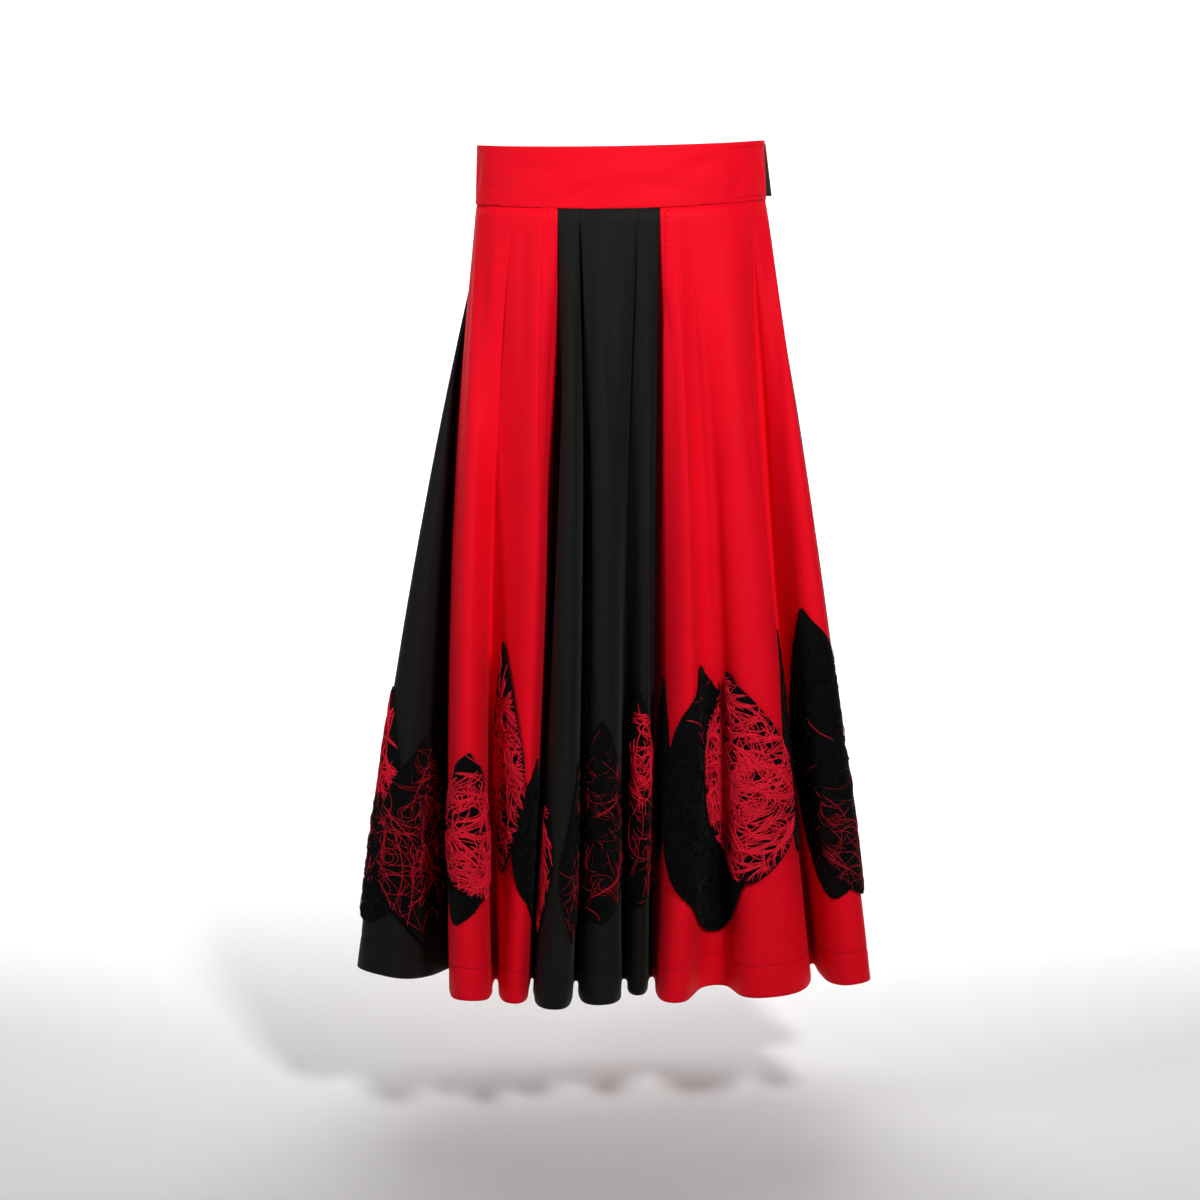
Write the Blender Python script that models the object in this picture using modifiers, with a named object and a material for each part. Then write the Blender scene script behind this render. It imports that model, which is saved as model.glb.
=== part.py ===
"""Circle skirt of six flared gores on a straight waistband, filled out as it hangs from the waist.

Metres, +Z up, +X to the right of the front view, the front at -Y. The origin is the centre of the waist
opening, halfway up the waistband. The cloth runs in straight lines from the waist seam to the hem, so the
whole skirt is worked out from the waist oval and from the plan of the hem, one table row for each fold.
"""

import math
from collections import namedtuple

import bmesh
import bpy
from mathutils import Vector
from mathutils.geometry import delaunay_2d_cdt, interpolate_bezier

# Driving sizes
WAIST_HALF_WIDTH = 0.150
WAIST_HALF_DEPTH = 0.085
WAIST_RISE_TO_RIGHT = 0.0025
WAIST_DIP_AT_FRONT = 0.0055
WAIST_DIP_AT_BACK = 0.002
SKIRT_LENGTH = 0.815
CLOTH = 0.0012
HEM_CLOTH = 0.0019
HEM_TURN = 0.033
SEAM_GAP = 0.0003

BAND_HEIGHT = 0.060
BAND_CLOTH = 0.0024
BAND_PROUD = 0.0008
BAND_FLARE = 0.002
BAND_EDGE = 0.0005
LAP_START_DEG = -42.0
LAP_LEAVES_DEG = 2.0
LAP_JOINS_DEG = 26.0
LAP_END_DEG = 354.0
LAP_SPACE = 0.0018

TAPE_THICK = 0.0010
TAPE_HEIGHT = 0.054
TAPE_START_DEG = 326.0
TAPE_LEAVES_DEG = 355.5
TAPE_END_DEG = 361.5
TAPE_FLARE_TOP = 0.0015
TAPE_FLARE_BOTTOM = 0.0065

FELT = 0.0012
FELT_GAP = 0.0005
OVER_GAP = 0.0004
# Powers that shape a leaf: how low its widest place lies, and how full its outline is
FULLEST_LOW = 1.3
ROUNDNESS = 0.7
# The smallest step between places on the grid where a leaf is cut along it
CUT_TOLERANCE = 1e-6

# Steps of the grid that each gore is made on
STEPS_PER_FOLD = 6
FINE_STEPS = 8
ROWS = 10
BAND_COLUMNS = 76
BAND_ROWS = 2
TAPE_COLUMNS = 14
LEAF_SIDE_POINTS = 8

# R is a ridge and T a trough, from the left side across the front and back round the rear. The waist
# angle is on the waist oval, 180 at the left side and 270 at the centre front. The hem point is seen from
# above. Bow moves the fold line sideways at half height, and before and after say how broadly the cloth
# turns over on the two sides of the line.
Fold = namedtuple("Fold", "name waist_deg hem_x hem_y bow before after")
FOLDS = (
    Fold("R0", 160.0, -0.246, -0.116, -0.018, 0.094, 0.040),
    Fold("T0", 176.0, -0.180, -0.030, -0.016, 0.010, 0.006),
    Fold("R1", 194.0, -0.158, -0.184, -0.006, 0.034, 0.038),
    Fold("T1", 222.0, -0.133, -0.060, -0.012, 0.008, 0.008),
    Fold("R2", 237.0, -0.110, -0.150, 0.006, 0.026, 0.022),
    Fold("T2", 244.5, -0.0945, -0.056, 0.005, 0.006, 0.008),
    Fold("R3", 249.0, -0.069, -0.170, 0.008, 0.034, 0.028),
    Fold("T3", 253.5, -0.0475, -0.062, 0.007, 0.007, 0.008),
    Fold("R4", 261.0, -0.0225, -0.148, 0.004, 0.034, 0.036),
    Fold("T4", 276.0, 0.004, -0.058, -0.006, 0.008, 0.007),
    Fold("R5", 281.0, 0.018, -0.114, 0.002, 0.016, 0.016),
    Fold("T5", 285.0, 0.034, -0.054, -0.001, 0.008, 0.008),
    Fold("R6", 290.0, 0.054, -0.146, 0.018, 0.028, 0.026),
    Fold("T6", 297.0, 0.100, -0.086, 0.012, 0.030, 0.030),
    Fold("R7", 314.0, 0.156, -0.148, 0.003, 0.050, 0.062),
    Fold("T7", 334.0, 0.207, -0.034, -0.008, 0.010, 0.008),
    Fold("R8", 350.0, 0.242, -0.146, 0.006, 0.036, 0.050),
    Fold("T8", 362.0, 0.232, -0.018, 0.004, 0.010, 0.010),
    Fold("R9", 371.0, 0.270, 0.018, 0.008, 0.030, 0.036),
    Fold("T9", 381.0, 0.206, 0.050, 0.004, 0.012, 0.012),
    Fold("R10", 391.0, 0.232, 0.128, 0.0, 0.036, 0.040),
    Fold("T10", 400.0, 0.166, 0.078, 0.0, 0.014, 0.012),
    Fold("R11", 409.0, 0.150, 0.172, 0.0, 0.030, 0.030),
    Fold("T11", 419.0, 0.106, 0.068, 0.0, 0.010, 0.012),
    Fold("R12", 431.0, 0.066, 0.186, 0.0, 0.044, 0.040),
    Fold("T12", 441.0, 0.028, 0.082, 0.0, 0.010, 0.010),
    Fold("R13", 452.0, -0.012, 0.172, 0.0, 0.034, 0.038),
    Fold("T13", 463.0, -0.050, 0.070, 0.0, 0.010, 0.012),
    Fold("R14", 474.0, -0.094, 0.188, 0.0, 0.046, 0.040),
    Fold("T14", 484.0, -0.138, 0.076, 0.0, 0.012, 0.012),
    Fold("R15", 492.0, -0.188, 0.156, 0.0, 0.036, 0.044),
    Fold("T15", 499.0, -0.206, 0.064, 0.0, 0.012, 0.012),
    Fold("R16", 505.0, -0.284, 0.056, -0.010, 0.034, 0.036),
    Fold("T16", 511.0, -0.226, 0.010, -0.002, 0.012, 0.010),
)
COUNT = len(FOLDS)

# Each gore runs from one trough to another, counted along the table
Gore = namedtuple("Gore", "name first last cloth")
GORES = (
    Gore("gore_left_front", 1, 5, "red cloth"),
    Gore("gore_centre_front", 5, 11, "black cloth"),
    Gore("gore_right_front", 11, 17, "red cloth"),
    Gore("gore_right_back", 17, 23, "black cloth"),
    Gore("gore_centre_back", 23, 29, "red cloth"),
    Gore("gore_left_back", 29, 35, "black cloth"),
)

# Felt leaves sewn on above the hem. At is the place across, counted in fold lines, and top is how far the
# upper tip lies below the waist seam. Bend and lean curve and tilt the leaf, and layer 1 lies on layer 0.
Leaf = namedtuple("Leaf", "name at top length width bend lean layer cloth")
LEAVES = (
    Leaf("leaf_01_red_lace", 33.82, 0.512, 0.220, 0.060, 0.002, 0.000, 0, "red lace"),
    Leaf("leaf_02_black_felt", 33.86, 0.625, 0.138, 0.104, -0.004, 0.000, 1, "black felt"),
    Leaf("leaf_03_red_tangle", 34.38, 0.556, 0.222, 0.106, -0.004, -0.002, 2, "red lace"),
    Leaf("leaf_04_black_felt", 1.92, 0.578, 0.162, 0.080, 0.002, 0.004, 0, "black felt"),
    Leaf("leaf_05_red_lace", 2.14, 0.562, 0.152, 0.104, -0.004, -0.006, 1, "red lace"),
    Leaf("leaf_06_red_lace", 3.56, 0.442, 0.244, 0.066, 0.003, -0.008, 1, "red lace"),
    Leaf("leaf_07_black_felt", 4.32, 0.560, 0.172, 0.064, -0.005, -0.004, 0, "black felt"),
    Leaf("leaf_08_red_lace", 5.64, 0.590, 0.154, 0.048, 0.004, 0.004, 0, "red lace"),
    Leaf("leaf_09_black_tangle", 6.30, 0.560, 0.190, 0.060, 0.005, 0.004, 0, "black felt"),
    Leaf("leaf_10_black_tangle", 8.00, 0.518, 0.212, 0.096, -0.006, 0.000, 0, "black felt"),
    Leaf("leaf_11_red_lace", 9.90, 0.485, 0.236, 0.058, 0.006, -0.004, 0, "red lace"),
    Leaf("leaf_12_black_felt", 11.42, 0.480, 0.200, 0.044, 0.002, 0.002, 0, "black felt"),
    Leaf("leaf_13_black_felt", 12.80, 0.466, 0.290, 0.166, -0.006, -0.012, 1, "black felt"),
    Leaf("leaf_14_red_lace", 13.68, 0.474, 0.222, 0.142, -0.004, -0.010, 2, "red lace"),
    Leaf("leaf_15_black_felt", 14.48, 0.440, 0.235, 0.056, 0.004, 0.006, 0, "black felt"),
    Leaf("leaf_16_black_felt", 15.80, 0.420, 0.306, 0.142, 0.003, -0.005, 0, "black felt"),
    Leaf("leaf_17_red_tangle", 16.12, 0.560, 0.165, 0.080, 0.004, -0.004, 1, "red lace"),
    Leaf("leaf_18_red_lace", 18.46, 0.500, 0.210, 0.058, 0.004, 0.004, 0, "red lace"),
    Leaf("leaf_19_black_tangle", 20.05, 0.540, 0.195, 0.088, -0.006, 0.006, 0, "black felt"),
    Leaf("leaf_20_red_lace", 21.80, 0.470, 0.240, 0.072, 0.006, -0.006, 0, "red lace"),
    Leaf("leaf_21_black_felt", 24.10, 0.430, 0.280, 0.108, -0.010, 0.008, 0, "black felt"),
    Leaf("leaf_22_red_tangle", 24.20, 0.530, 0.165, 0.076, 0.006, 0.006, 1, "red lace"),
    Leaf("leaf_23_black_felt", 26.10, 0.520, 0.210, 0.092, 0.008, -0.006, 0, "black felt"),
    Leaf("leaf_24_black_felt", 27.95, 0.460, 0.260, 0.100, 0.010, 0.006, 0, "black felt"),
    Leaf("leaf_25_red_lace", 30.05, 0.510, 0.205, 0.086, -0.006, 0.006, 0, "red lace"),
    Leaf("leaf_26_red_lace", 31.95, 0.550, 0.180, 0.076, 0.006, 0.004, 0, "red lace"),
)

# Base colour, roughness
FINISHES = {
    "red cloth": ((0.80, 0.010, 0.022, 1.0), 0.62),
    "black cloth": ((0.012, 0.012, 0.012, 1.0), 0.70),
    "red lace": ((0.55, 0.012, 0.022, 1.0), 0.80),
    "black felt": ((0.006, 0.006, 0.006, 1.0), 0.92),
    "closure tape": ((0.020, 0.010, 0.010, 1.0), 0.85),
}

Column = namedtuple("Column", "waist hem bow")


def clear_scene():
    """Take every object out of the scene"""
    for item in list(bpy.data.objects):
        bpy.data.objects.remove(item, do_unlink=True)


def waist_height(x, y):
    """Height of the waistband's middle, which rises a little to the right and dips at the front and back"""
    dip = WAIST_DIP_AT_FRONT if y < 0 else WAIST_DIP_AT_BACK
    return WAIST_RISE_TO_RIGHT * x / WAIST_HALF_WIDTH - dip * (y / WAIST_HALF_DEPTH) ** 2


def on_oval(degrees, out=0.0):
    """A point of the waist oval seen from above, moved out from it"""
    angle = math.radians(degrees)
    return Vector(((WAIST_HALF_WIDTH + out) * math.cos(angle), (WAIST_HALF_DEPTH + out) * math.sin(angle)))


def hem_point(number):
    """A fold line's end at the hem, seen from above"""
    fold = FOLDS[number % COUNT]
    return Vector((fold.hem_x, fold.hem_y))


def across_fold(number):
    """Unit vector across a fold at the hem, toward the next fold line"""
    before, here, after = hem_point(number - 1), hem_point(number), hem_point(number + 1)
    depth = here - (before + after) / 2
    across = Vector((-depth.y, depth.x)).normalized()
    return across if across.dot(after - before) > 0 else -across


def columns_between(number):
    """The grid columns from one fold line up to the next, spread over waist and hem in like shares"""
    fold, following = FOLDS[number % COUNT], FOLDS[(number + 1) % COUNT]
    start, end = hem_point(number), hem_point(number + 1)
    fine = interpolate_bezier(
        start,
        start + across_fold(number) * fold.after,
        end - across_fold(number + 1) * following.before,
        end,
        STEPS_PER_FOLD * FINE_STEPS + 1,
    )
    reach = [0.0]
    for one, other in zip(fine, fine[1:]):
        reach.append(reach[-1] + (other - one).length)
    turn = (following.waist_deg - fold.waist_deg) % 360
    columns = []
    for step in range(STEPS_PER_FOLD):
        share = reach[step * FINE_STEPS] / reach[-1]
        waist = on_oval(fold.waist_deg + turn * share)
        bow = fold.bow + (following.bow - fold.bow) * share
        columns.append(Column(waist, fine[step * FINE_STEPS].xy, bow))
    return columns


COLUMNS = [column for number in range(COUNT) for column in columns_between(number)]


def row_share(row):
    """How far down the cloth a grid row lies; the last row but one is the hem's stitch line"""
    stitched = 1 - HEM_TURN / SKIRT_LENGTH
    return stitched * row / ROWS if row <= ROWS else stitched + (1 - stitched) * (row - ROWS)


def cloth_point(number, row):
    """The outer face of the cloth at a grid point"""
    column = COLUMNS[number % len(COLUMNS)]
    share = row_share(row)
    run = column.hem - column.waist
    top = waist_height(*column.waist) - BAND_HEIGHT / 2 - SEAM_GAP
    drop = math.sqrt(SKIRT_LENGTH**2 - run.length_squared)
    plan = column.waist + run * share
    plan.x += 4 * share * (1 - share) * column.bow
    return Vector((plan.x, plan.y, top - share * drop))


def cloth_normal(number, row):
    """The direction out of the cloth at a grid point"""
    along = cloth_point(number + 1, row) - cloth_point(number - 1, row)
    up = cloth_point(number, max(row - 1, 0)) - cloth_point(number, min(row + 1, ROWS + 1))
    return along.cross(up).normalized()


def on_facets(across, down, out):
    """A point of the faceted cloth between grid points, moved out from it"""
    number, row = math.floor(across), math.floor(down)
    right, below = across - number, down - row

    def corner(step, drop):
        return cloth_point(number + step, row + drop) + cloth_normal(number + step, row + drop) * out

    if right + below <= 1:
        return corner(0, 0) * (1 - right - below) + corner(1, 0) * right + corner(0, 1) * below
    return corner(1, 1) * (right + below - 1) + corner(1, 0) * (1 - below) + corner(0, 1) * (1 - right)


def material(name):
    """The finish of one cloth, made once"""
    if name in bpy.data.materials:
        return bpy.data.materials[name]
    colour, roughness = FINISHES[name]
    made = bpy.data.materials.new(name)
    made.use_nodes = True
    surface = made.node_tree.nodes["Principled BSDF"]
    surface.inputs["Base Color"].default_value = colour
    surface.inputs["Roughness"].default_value = roughness
    surface.inputs["Metallic"].default_value = 0.0
    return made


def make_object(name, bm, cloth, skirt):
    """A named object from a finished bmesh, hung from the skirt's empty"""
    mesh = bpy.data.meshes.new(name)
    bm.to_mesh(mesh)
    bm.free()
    mesh.shade_smooth()
    mesh.materials.append(material(cloth))
    made = bpy.data.objects.new(name, mesh)
    skirt.users_collection[0].objects.link(made)
    made.parent = skirt
    return made


def grid_bmesh(across, down, place):
    """A grid of triangles whose points are placed by a function of column and row, with row 0 at the top"""
    bm = bmesh.new()
    bmesh.ops.create_grid(bm, x_segments=across, y_segments=down, size=1.0)
    for vert in bm.verts:
        column = round((vert.co.x + 1) / 2 * across)
        row = round((1 - vert.co.y) / 2 * down)
        vert.co = place(column, row)
    bmesh.ops.triangulate(bm, faces=bm.faces, quad_method="FIXED")
    return bm


def thicken(made, thickness):
    """Give an outer face its cloth's thickness, inward"""
    solidify = made.modifiers.new("cloth", "SOLIDIFY")
    solidify.thickness = thickness
    solidify.offset = -1
    return solidify


def make_gore(gore, skirt):
    """One flared gore, held clear of its neighbours at both seams, with a thicker turned-up hem"""
    first = gore.first * STEPS_PER_FOLD
    across = (gore.last - gore.first) * STEPS_PER_FOLD

    def place(column, row):
        point = cloth_point(first + column, row)
        inner = {0: 1, across: across - 1}.get(column)
        if inner is not None:
            point += (cloth_point(first + inner, row) - point).normalized() * SEAM_GAP / 2
        return point

    made = make_object(gore.name, grid_bmesh(across, ROWS + 1, place), gore.cloth, skirt)
    hem = made.vertex_groups.new(name="turned hem")
    # The grid's first two rows of points are the hem and its stitch line
    hem.add(list(range(2 * (across + 1))), 1.0, "REPLACE")
    solidify = thicken(made, HEM_CLOTH)
    solidify.vertex_group = hem.name
    solidify.thickness_vertex_group = CLOTH / HEM_CLOTH


def eased(value):
    """A smooth step from 0 to 1"""
    value = min(max(value, 0.0), 1.0)
    return value * value * (3 - 2 * value)


def make_waistband(skirt):
    """One strip round the waist: its start lies inside, under its own end, at the right side"""
    lap_depth = BAND_CLOTH + LAP_SPACE

    def place(column, row):
        degrees = LAP_START_DEG + (LAP_END_DEG - LAP_START_DEG) * column / BAND_COLUMNS
        inward = 1 - eased((degrees - LAP_LEAVES_DEG) / (LAP_JOINS_DEG - LAP_LEAVES_DEG))
        below = row / BAND_ROWS
        plan = on_oval(degrees, BAND_PROUD - lap_depth * inward - BAND_FLARE * (1 - below))
        return plan.to_3d() + Vector((0, 0, waist_height(*plan) + BAND_HEIGHT * (0.5 - below)))

    made = make_object("waistband", grid_bmesh(BAND_COLUMNS, BAND_ROWS, place), "red cloth", skirt)
    thicken(made, BAND_CLOTH)
    edge = made.modifiers.new("pressed edges", "BEVEL")
    edge.width = BAND_EDGE
    edge.segments = 1
    edge.limit_method = "ANGLE"
    edge.angle_limit = math.radians(60)


def make_closure_tape(skirt):
    """The fastening tape between the waistband's two layers, which stands out past the band's end"""
    under_band = BAND_PROUD - BAND_CLOTH - (LAP_SPACE - TAPE_THICK) / 2

    def place(column, row):
        degrees = TAPE_START_DEG + (TAPE_END_DEG - TAPE_START_DEG) * column / TAPE_COLUMNS
        leaving = eased((degrees - TAPE_LEAVES_DEG) / (TAPE_END_DEG - TAPE_LEAVES_DEG))
        flare = TAPE_FLARE_BOTTOM if row else TAPE_FLARE_TOP
        taper = 0.0 if row else -BAND_FLARE
        plan = on_oval(degrees, under_band + taper + (flare - under_band) * leaving)
        return plan.to_3d() + Vector((0, 0, waist_height(*plan) + TAPE_HEIGHT * (0.5 - row)))

    made = make_object("closure_tape", grid_bmesh(TAPE_COLUMNS, 1, place), "closure tape", skirt)
    thicken(made, TAPE_THICK)


def walk(start, down, distance):
    """The place across that is reached by going a distance along the cloth at one height"""
    side = math.copysign(1.0, distance)
    left = abs(distance)
    place = start
    while True:
        line = math.floor(place) + 1 if side > 0 else math.ceil(place) - 1
        length = (on_facets(line, down, 0.0) - on_facets(place, down, 0.0)).length
        if length >= left:
            return place + (line - place) * left / length
        left -= length
        place = line


def leaf_outline(leaf):
    """A pointed leaf's outline as places across and down the grid, from the tip down one side and up"""
    rows_per_metre = ROWS / (SKIRT_LENGTH - HEM_TURN)

    def side_point(side, step):
        share = step / LEAF_SIDE_POINTS
        half = leaf.width / 2 * max(math.sin(math.pi * share**FULLEST_LOW), 0.0) ** ROUNDNESS
        middle = leaf.lean * (1 - 2 * share) + leaf.bend * math.sin(math.pi * share)
        down = (leaf.top + leaf.length * share) * rows_per_metre
        return walk(leaf.at * STEPS_PER_FOLD, down, middle + side * half), down

    right = [side_point(1, step) for step in range(LEAF_SIDE_POINTS + 1)]
    left = [side_point(-1, step) for step in range(LEAF_SIDE_POINTS - 1, 0, -1)]
    return right + left


def leaf_bmesh(leaf, out):
    """The leaf cut along the gore's facets and moved out from them, so that it follows every fold"""
    outline = leaf_outline(leaf)
    low = math.floor(min(across for across, _ in outline))
    high = math.ceil(max(across for across, _ in outline))
    top = math.floor(min(down for _, down in outline))
    bottom = math.ceil(max(down for _, down in outline))
    lines = [((column, top), (column, bottom)) for column in range(low, high + 1)]
    lines += [((low, row), (high, row)) for row in range(top, bottom + 1)]
    for column in range(low, high):
        lines += [((column, row + 1), (column + 1, row)) for row in range(top, bottom)]
    # The flat plan is worked out with up as positive, so that its faces look out of the cloth
    plan = [Vector((across, -down)) for across, down in outline]
    count = len(plan)
    edges = []
    for start, end in lines:
        edges.append((len(plan), len(plan) + 1))
        plan += [Vector((start[0], -start[1])), Vector((end[0], -end[1]))]
    border = [list(range(count - 1, -1, -1))]
    flat, _, faces, _, _, inside = delaunay_2d_cdt(plan, edges, border, 0, CUT_TOLERANCE)
    bm = bmesh.new()
    place = bm.verts.layers.float_vector.new("place on the cloth")
    made = {}
    for face, owner in zip(faces, inside):
        if not owner:
            continue
        for number in face:
            if number not in made:
                made[number] = bm.verts.new(on_facets(flat[number].x, -flat[number].y, out))
                made[number][place] = flat[number].to_3d()
        bm.faces.new([made[number] for number in face])
    raised = bmesh.ops.extrude_face_region(bm, geom=bm.faces[:])["geom"]
    for vert in (item for item in raised if isinstance(item, bmesh.types.BMVert)):
        vert.co = on_facets(vert[place].x, -vert[place].y, out + FELT)
    bmesh.ops.recalc_face_normals(bm, faces=bm.faces)
    return bm


def make_leaf(leaf, skirt):
    """One felt leaf, sewn flat on its gore or on the leaf below it"""
    out = FELT_GAP + leaf.layer * (FELT + OVER_GAP)
    make_object(leaf.name, leaf_bmesh(leaf, out), leaf.cloth, skirt)


def main():
    clear_scene()
    collection = bpy.data.collections.new("circle_skirt")
    bpy.context.scene.collection.children.link(collection)
    skirt = bpy.data.objects.new("skirt", None)
    collection.objects.link(skirt)
    make_waistband(skirt)
    make_closure_tape(skirt)
    for gore in GORES:
        make_gore(gore, skirt)
    for leaf in LEAVES:
        make_leaf(leaf, skirt)


main()
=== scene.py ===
"""Circle skirt of red and black gores, dressed: twill cloth in soft folds with its sewing, a lapped
waistband, and raw felt leaves with tangled thread. Metres, +Z up, the front at -Y, the origin at the
centre of the waist opening. Every piece is worked out from one table of folds and a few sizes."""

import math
from collections import namedtuple
from random import Random

import bpy
import numpy as np
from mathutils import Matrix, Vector, noise


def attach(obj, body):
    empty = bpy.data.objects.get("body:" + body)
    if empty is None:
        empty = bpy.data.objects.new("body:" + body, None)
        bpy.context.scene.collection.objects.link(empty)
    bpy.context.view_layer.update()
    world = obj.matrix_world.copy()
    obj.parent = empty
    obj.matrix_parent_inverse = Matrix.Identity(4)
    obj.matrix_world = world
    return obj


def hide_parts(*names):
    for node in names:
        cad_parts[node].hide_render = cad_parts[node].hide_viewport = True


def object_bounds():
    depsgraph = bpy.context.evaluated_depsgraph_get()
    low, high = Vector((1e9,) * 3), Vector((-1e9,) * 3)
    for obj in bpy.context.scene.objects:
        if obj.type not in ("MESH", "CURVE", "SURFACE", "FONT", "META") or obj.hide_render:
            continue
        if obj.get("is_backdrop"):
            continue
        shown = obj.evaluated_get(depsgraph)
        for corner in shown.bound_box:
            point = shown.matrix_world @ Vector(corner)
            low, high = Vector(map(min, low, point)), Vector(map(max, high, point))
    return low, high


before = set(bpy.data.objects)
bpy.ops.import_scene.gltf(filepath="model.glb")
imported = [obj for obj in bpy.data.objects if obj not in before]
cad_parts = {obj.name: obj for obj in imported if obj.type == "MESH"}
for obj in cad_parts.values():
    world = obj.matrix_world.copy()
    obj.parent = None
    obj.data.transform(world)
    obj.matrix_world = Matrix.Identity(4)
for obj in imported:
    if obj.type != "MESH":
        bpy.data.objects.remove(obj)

bl_info = {
    "name": "Circle Skirt",
    "version": (1, 0, 0),
    "blender": (4, 5, 0),
    "location": "3D View > Sidebar > Skirt",
    "description": "Dresses the circle skirt in twill, felt leaves, tangled thread and sewing",
    "category": "Add Mesh",
}

BODY = "root"

# R is a ridge and T a trough, from the left side across the front and back round the rear. The waist
# angle is on the waist oval, 270 at the centre front. The hem point is seen from above. Bow moves the fold
# line sideways at half height, and before and after say how broadly the cloth turns over beside the line.
Fold = namedtuple("Fold", "name waist_deg hem_x hem_y bow before after")
FOLDS = [Fold(*row) for row in (
    ("R0", 160.0, -0.246, -0.116, -0.018, 0.094, 0.040),
    ("T0", 176.0, -0.180, -0.030, -0.016, 0.010, 0.006),
    ("R1", 194.0, -0.158, -0.184, -0.006, 0.034, 0.038),
    ("T1", 222.0, -0.133, -0.060, -0.012, 0.008, 0.008),
    ("R2", 237.0, -0.110, -0.150, 0.006, 0.026, 0.022),
    ("T2", 244.5, -0.0945, -0.056, 0.005, 0.006, 0.008),
    ("R3", 249.0, -0.069, -0.170, 0.008, 0.034, 0.028),
    ("T3", 253.5, -0.0475, -0.062, 0.007, 0.007, 0.008),
    ("R4", 261.0, -0.0225, -0.148, 0.004, 0.034, 0.036),
    ("T4", 276.0, 0.004, -0.058, -0.006, 0.008, 0.007),
    ("R5", 281.0, 0.018, -0.114, 0.002, 0.016, 0.016),
    ("T5", 285.0, 0.034, -0.054, -0.001, 0.008, 0.008),
    ("R6", 290.0, 0.054, -0.146, 0.018, 0.028, 0.026),
    ("T6", 297.0, 0.100, -0.086, 0.012, 0.030, 0.030),
    ("R7", 314.0, 0.156, -0.148, 0.003, 0.050, 0.062),
    ("T7", 334.0, 0.207, -0.034, -0.008, 0.010, 0.008),
    ("R8", 350.0, 0.242, -0.146, 0.006, 0.036, 0.050),
    ("T8", 362.0, 0.232, -0.018, 0.004, 0.010, 0.010),
    ("R9", 371.0, 0.270, 0.018, 0.008, 0.030, 0.036),
    ("T9", 381.0, 0.206, 0.050, 0.004, 0.012, 0.012),
    ("R10", 391.0, 0.232, 0.128, 0.0, 0.036, 0.040),
    ("T10", 400.0, 0.166, 0.078, 0.0, 0.014, 0.012),
    ("R11", 409.0, 0.150, 0.172, 0.0, 0.030, 0.030),
    ("T11", 419.0, 0.106, 0.068, 0.0, 0.010, 0.012),
    ("R12", 431.0, 0.066, 0.186, 0.0, 0.044, 0.040),
    ("T12", 441.0, 0.028, 0.082, 0.0, 0.010, 0.010),
    ("R13", 452.0, -0.012, 0.172, 0.0, 0.034, 0.038),
    ("T13", 463.0, -0.050, 0.070, 0.0, 0.010, 0.012),
    ("R14", 474.0, -0.094, 0.188, 0.0, 0.046, 0.040),
    ("T14", 484.0, -0.138, 0.076, 0.0, 0.012, 0.012),
    ("R15", 492.0, -0.188, 0.156, 0.0, 0.036, 0.044),
    ("T15", 499.0, -0.206, 0.064, 0.0, 0.012, 0.012),
    ("R16", 505.0, -0.284, 0.056, -0.010, 0.034, 0.036),
    ("T16", 511.0, -0.226, 0.010, -0.002, 0.012, 0.010),
)]
COUNT = len(FOLDS)

# Each gore runs from one trough to another, counted along the table
Gore = namedtuple("Gore", "name first last cloth")
GORES = [Gore(*row) for row in (
    ("gore_left_front", 1, 5, "red_cloth"),
    ("gore_centre_front", 5, 11, "black_cloth"),
    ("gore_right_front", 11, 17, "red_cloth"),
    ("gore_right_back", 17, 23, "black_cloth"),
    ("gore_centre_back", 23, 29, "red_cloth"),
    ("gore_left_back", 29, 35, "black_cloth"),
)]

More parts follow.
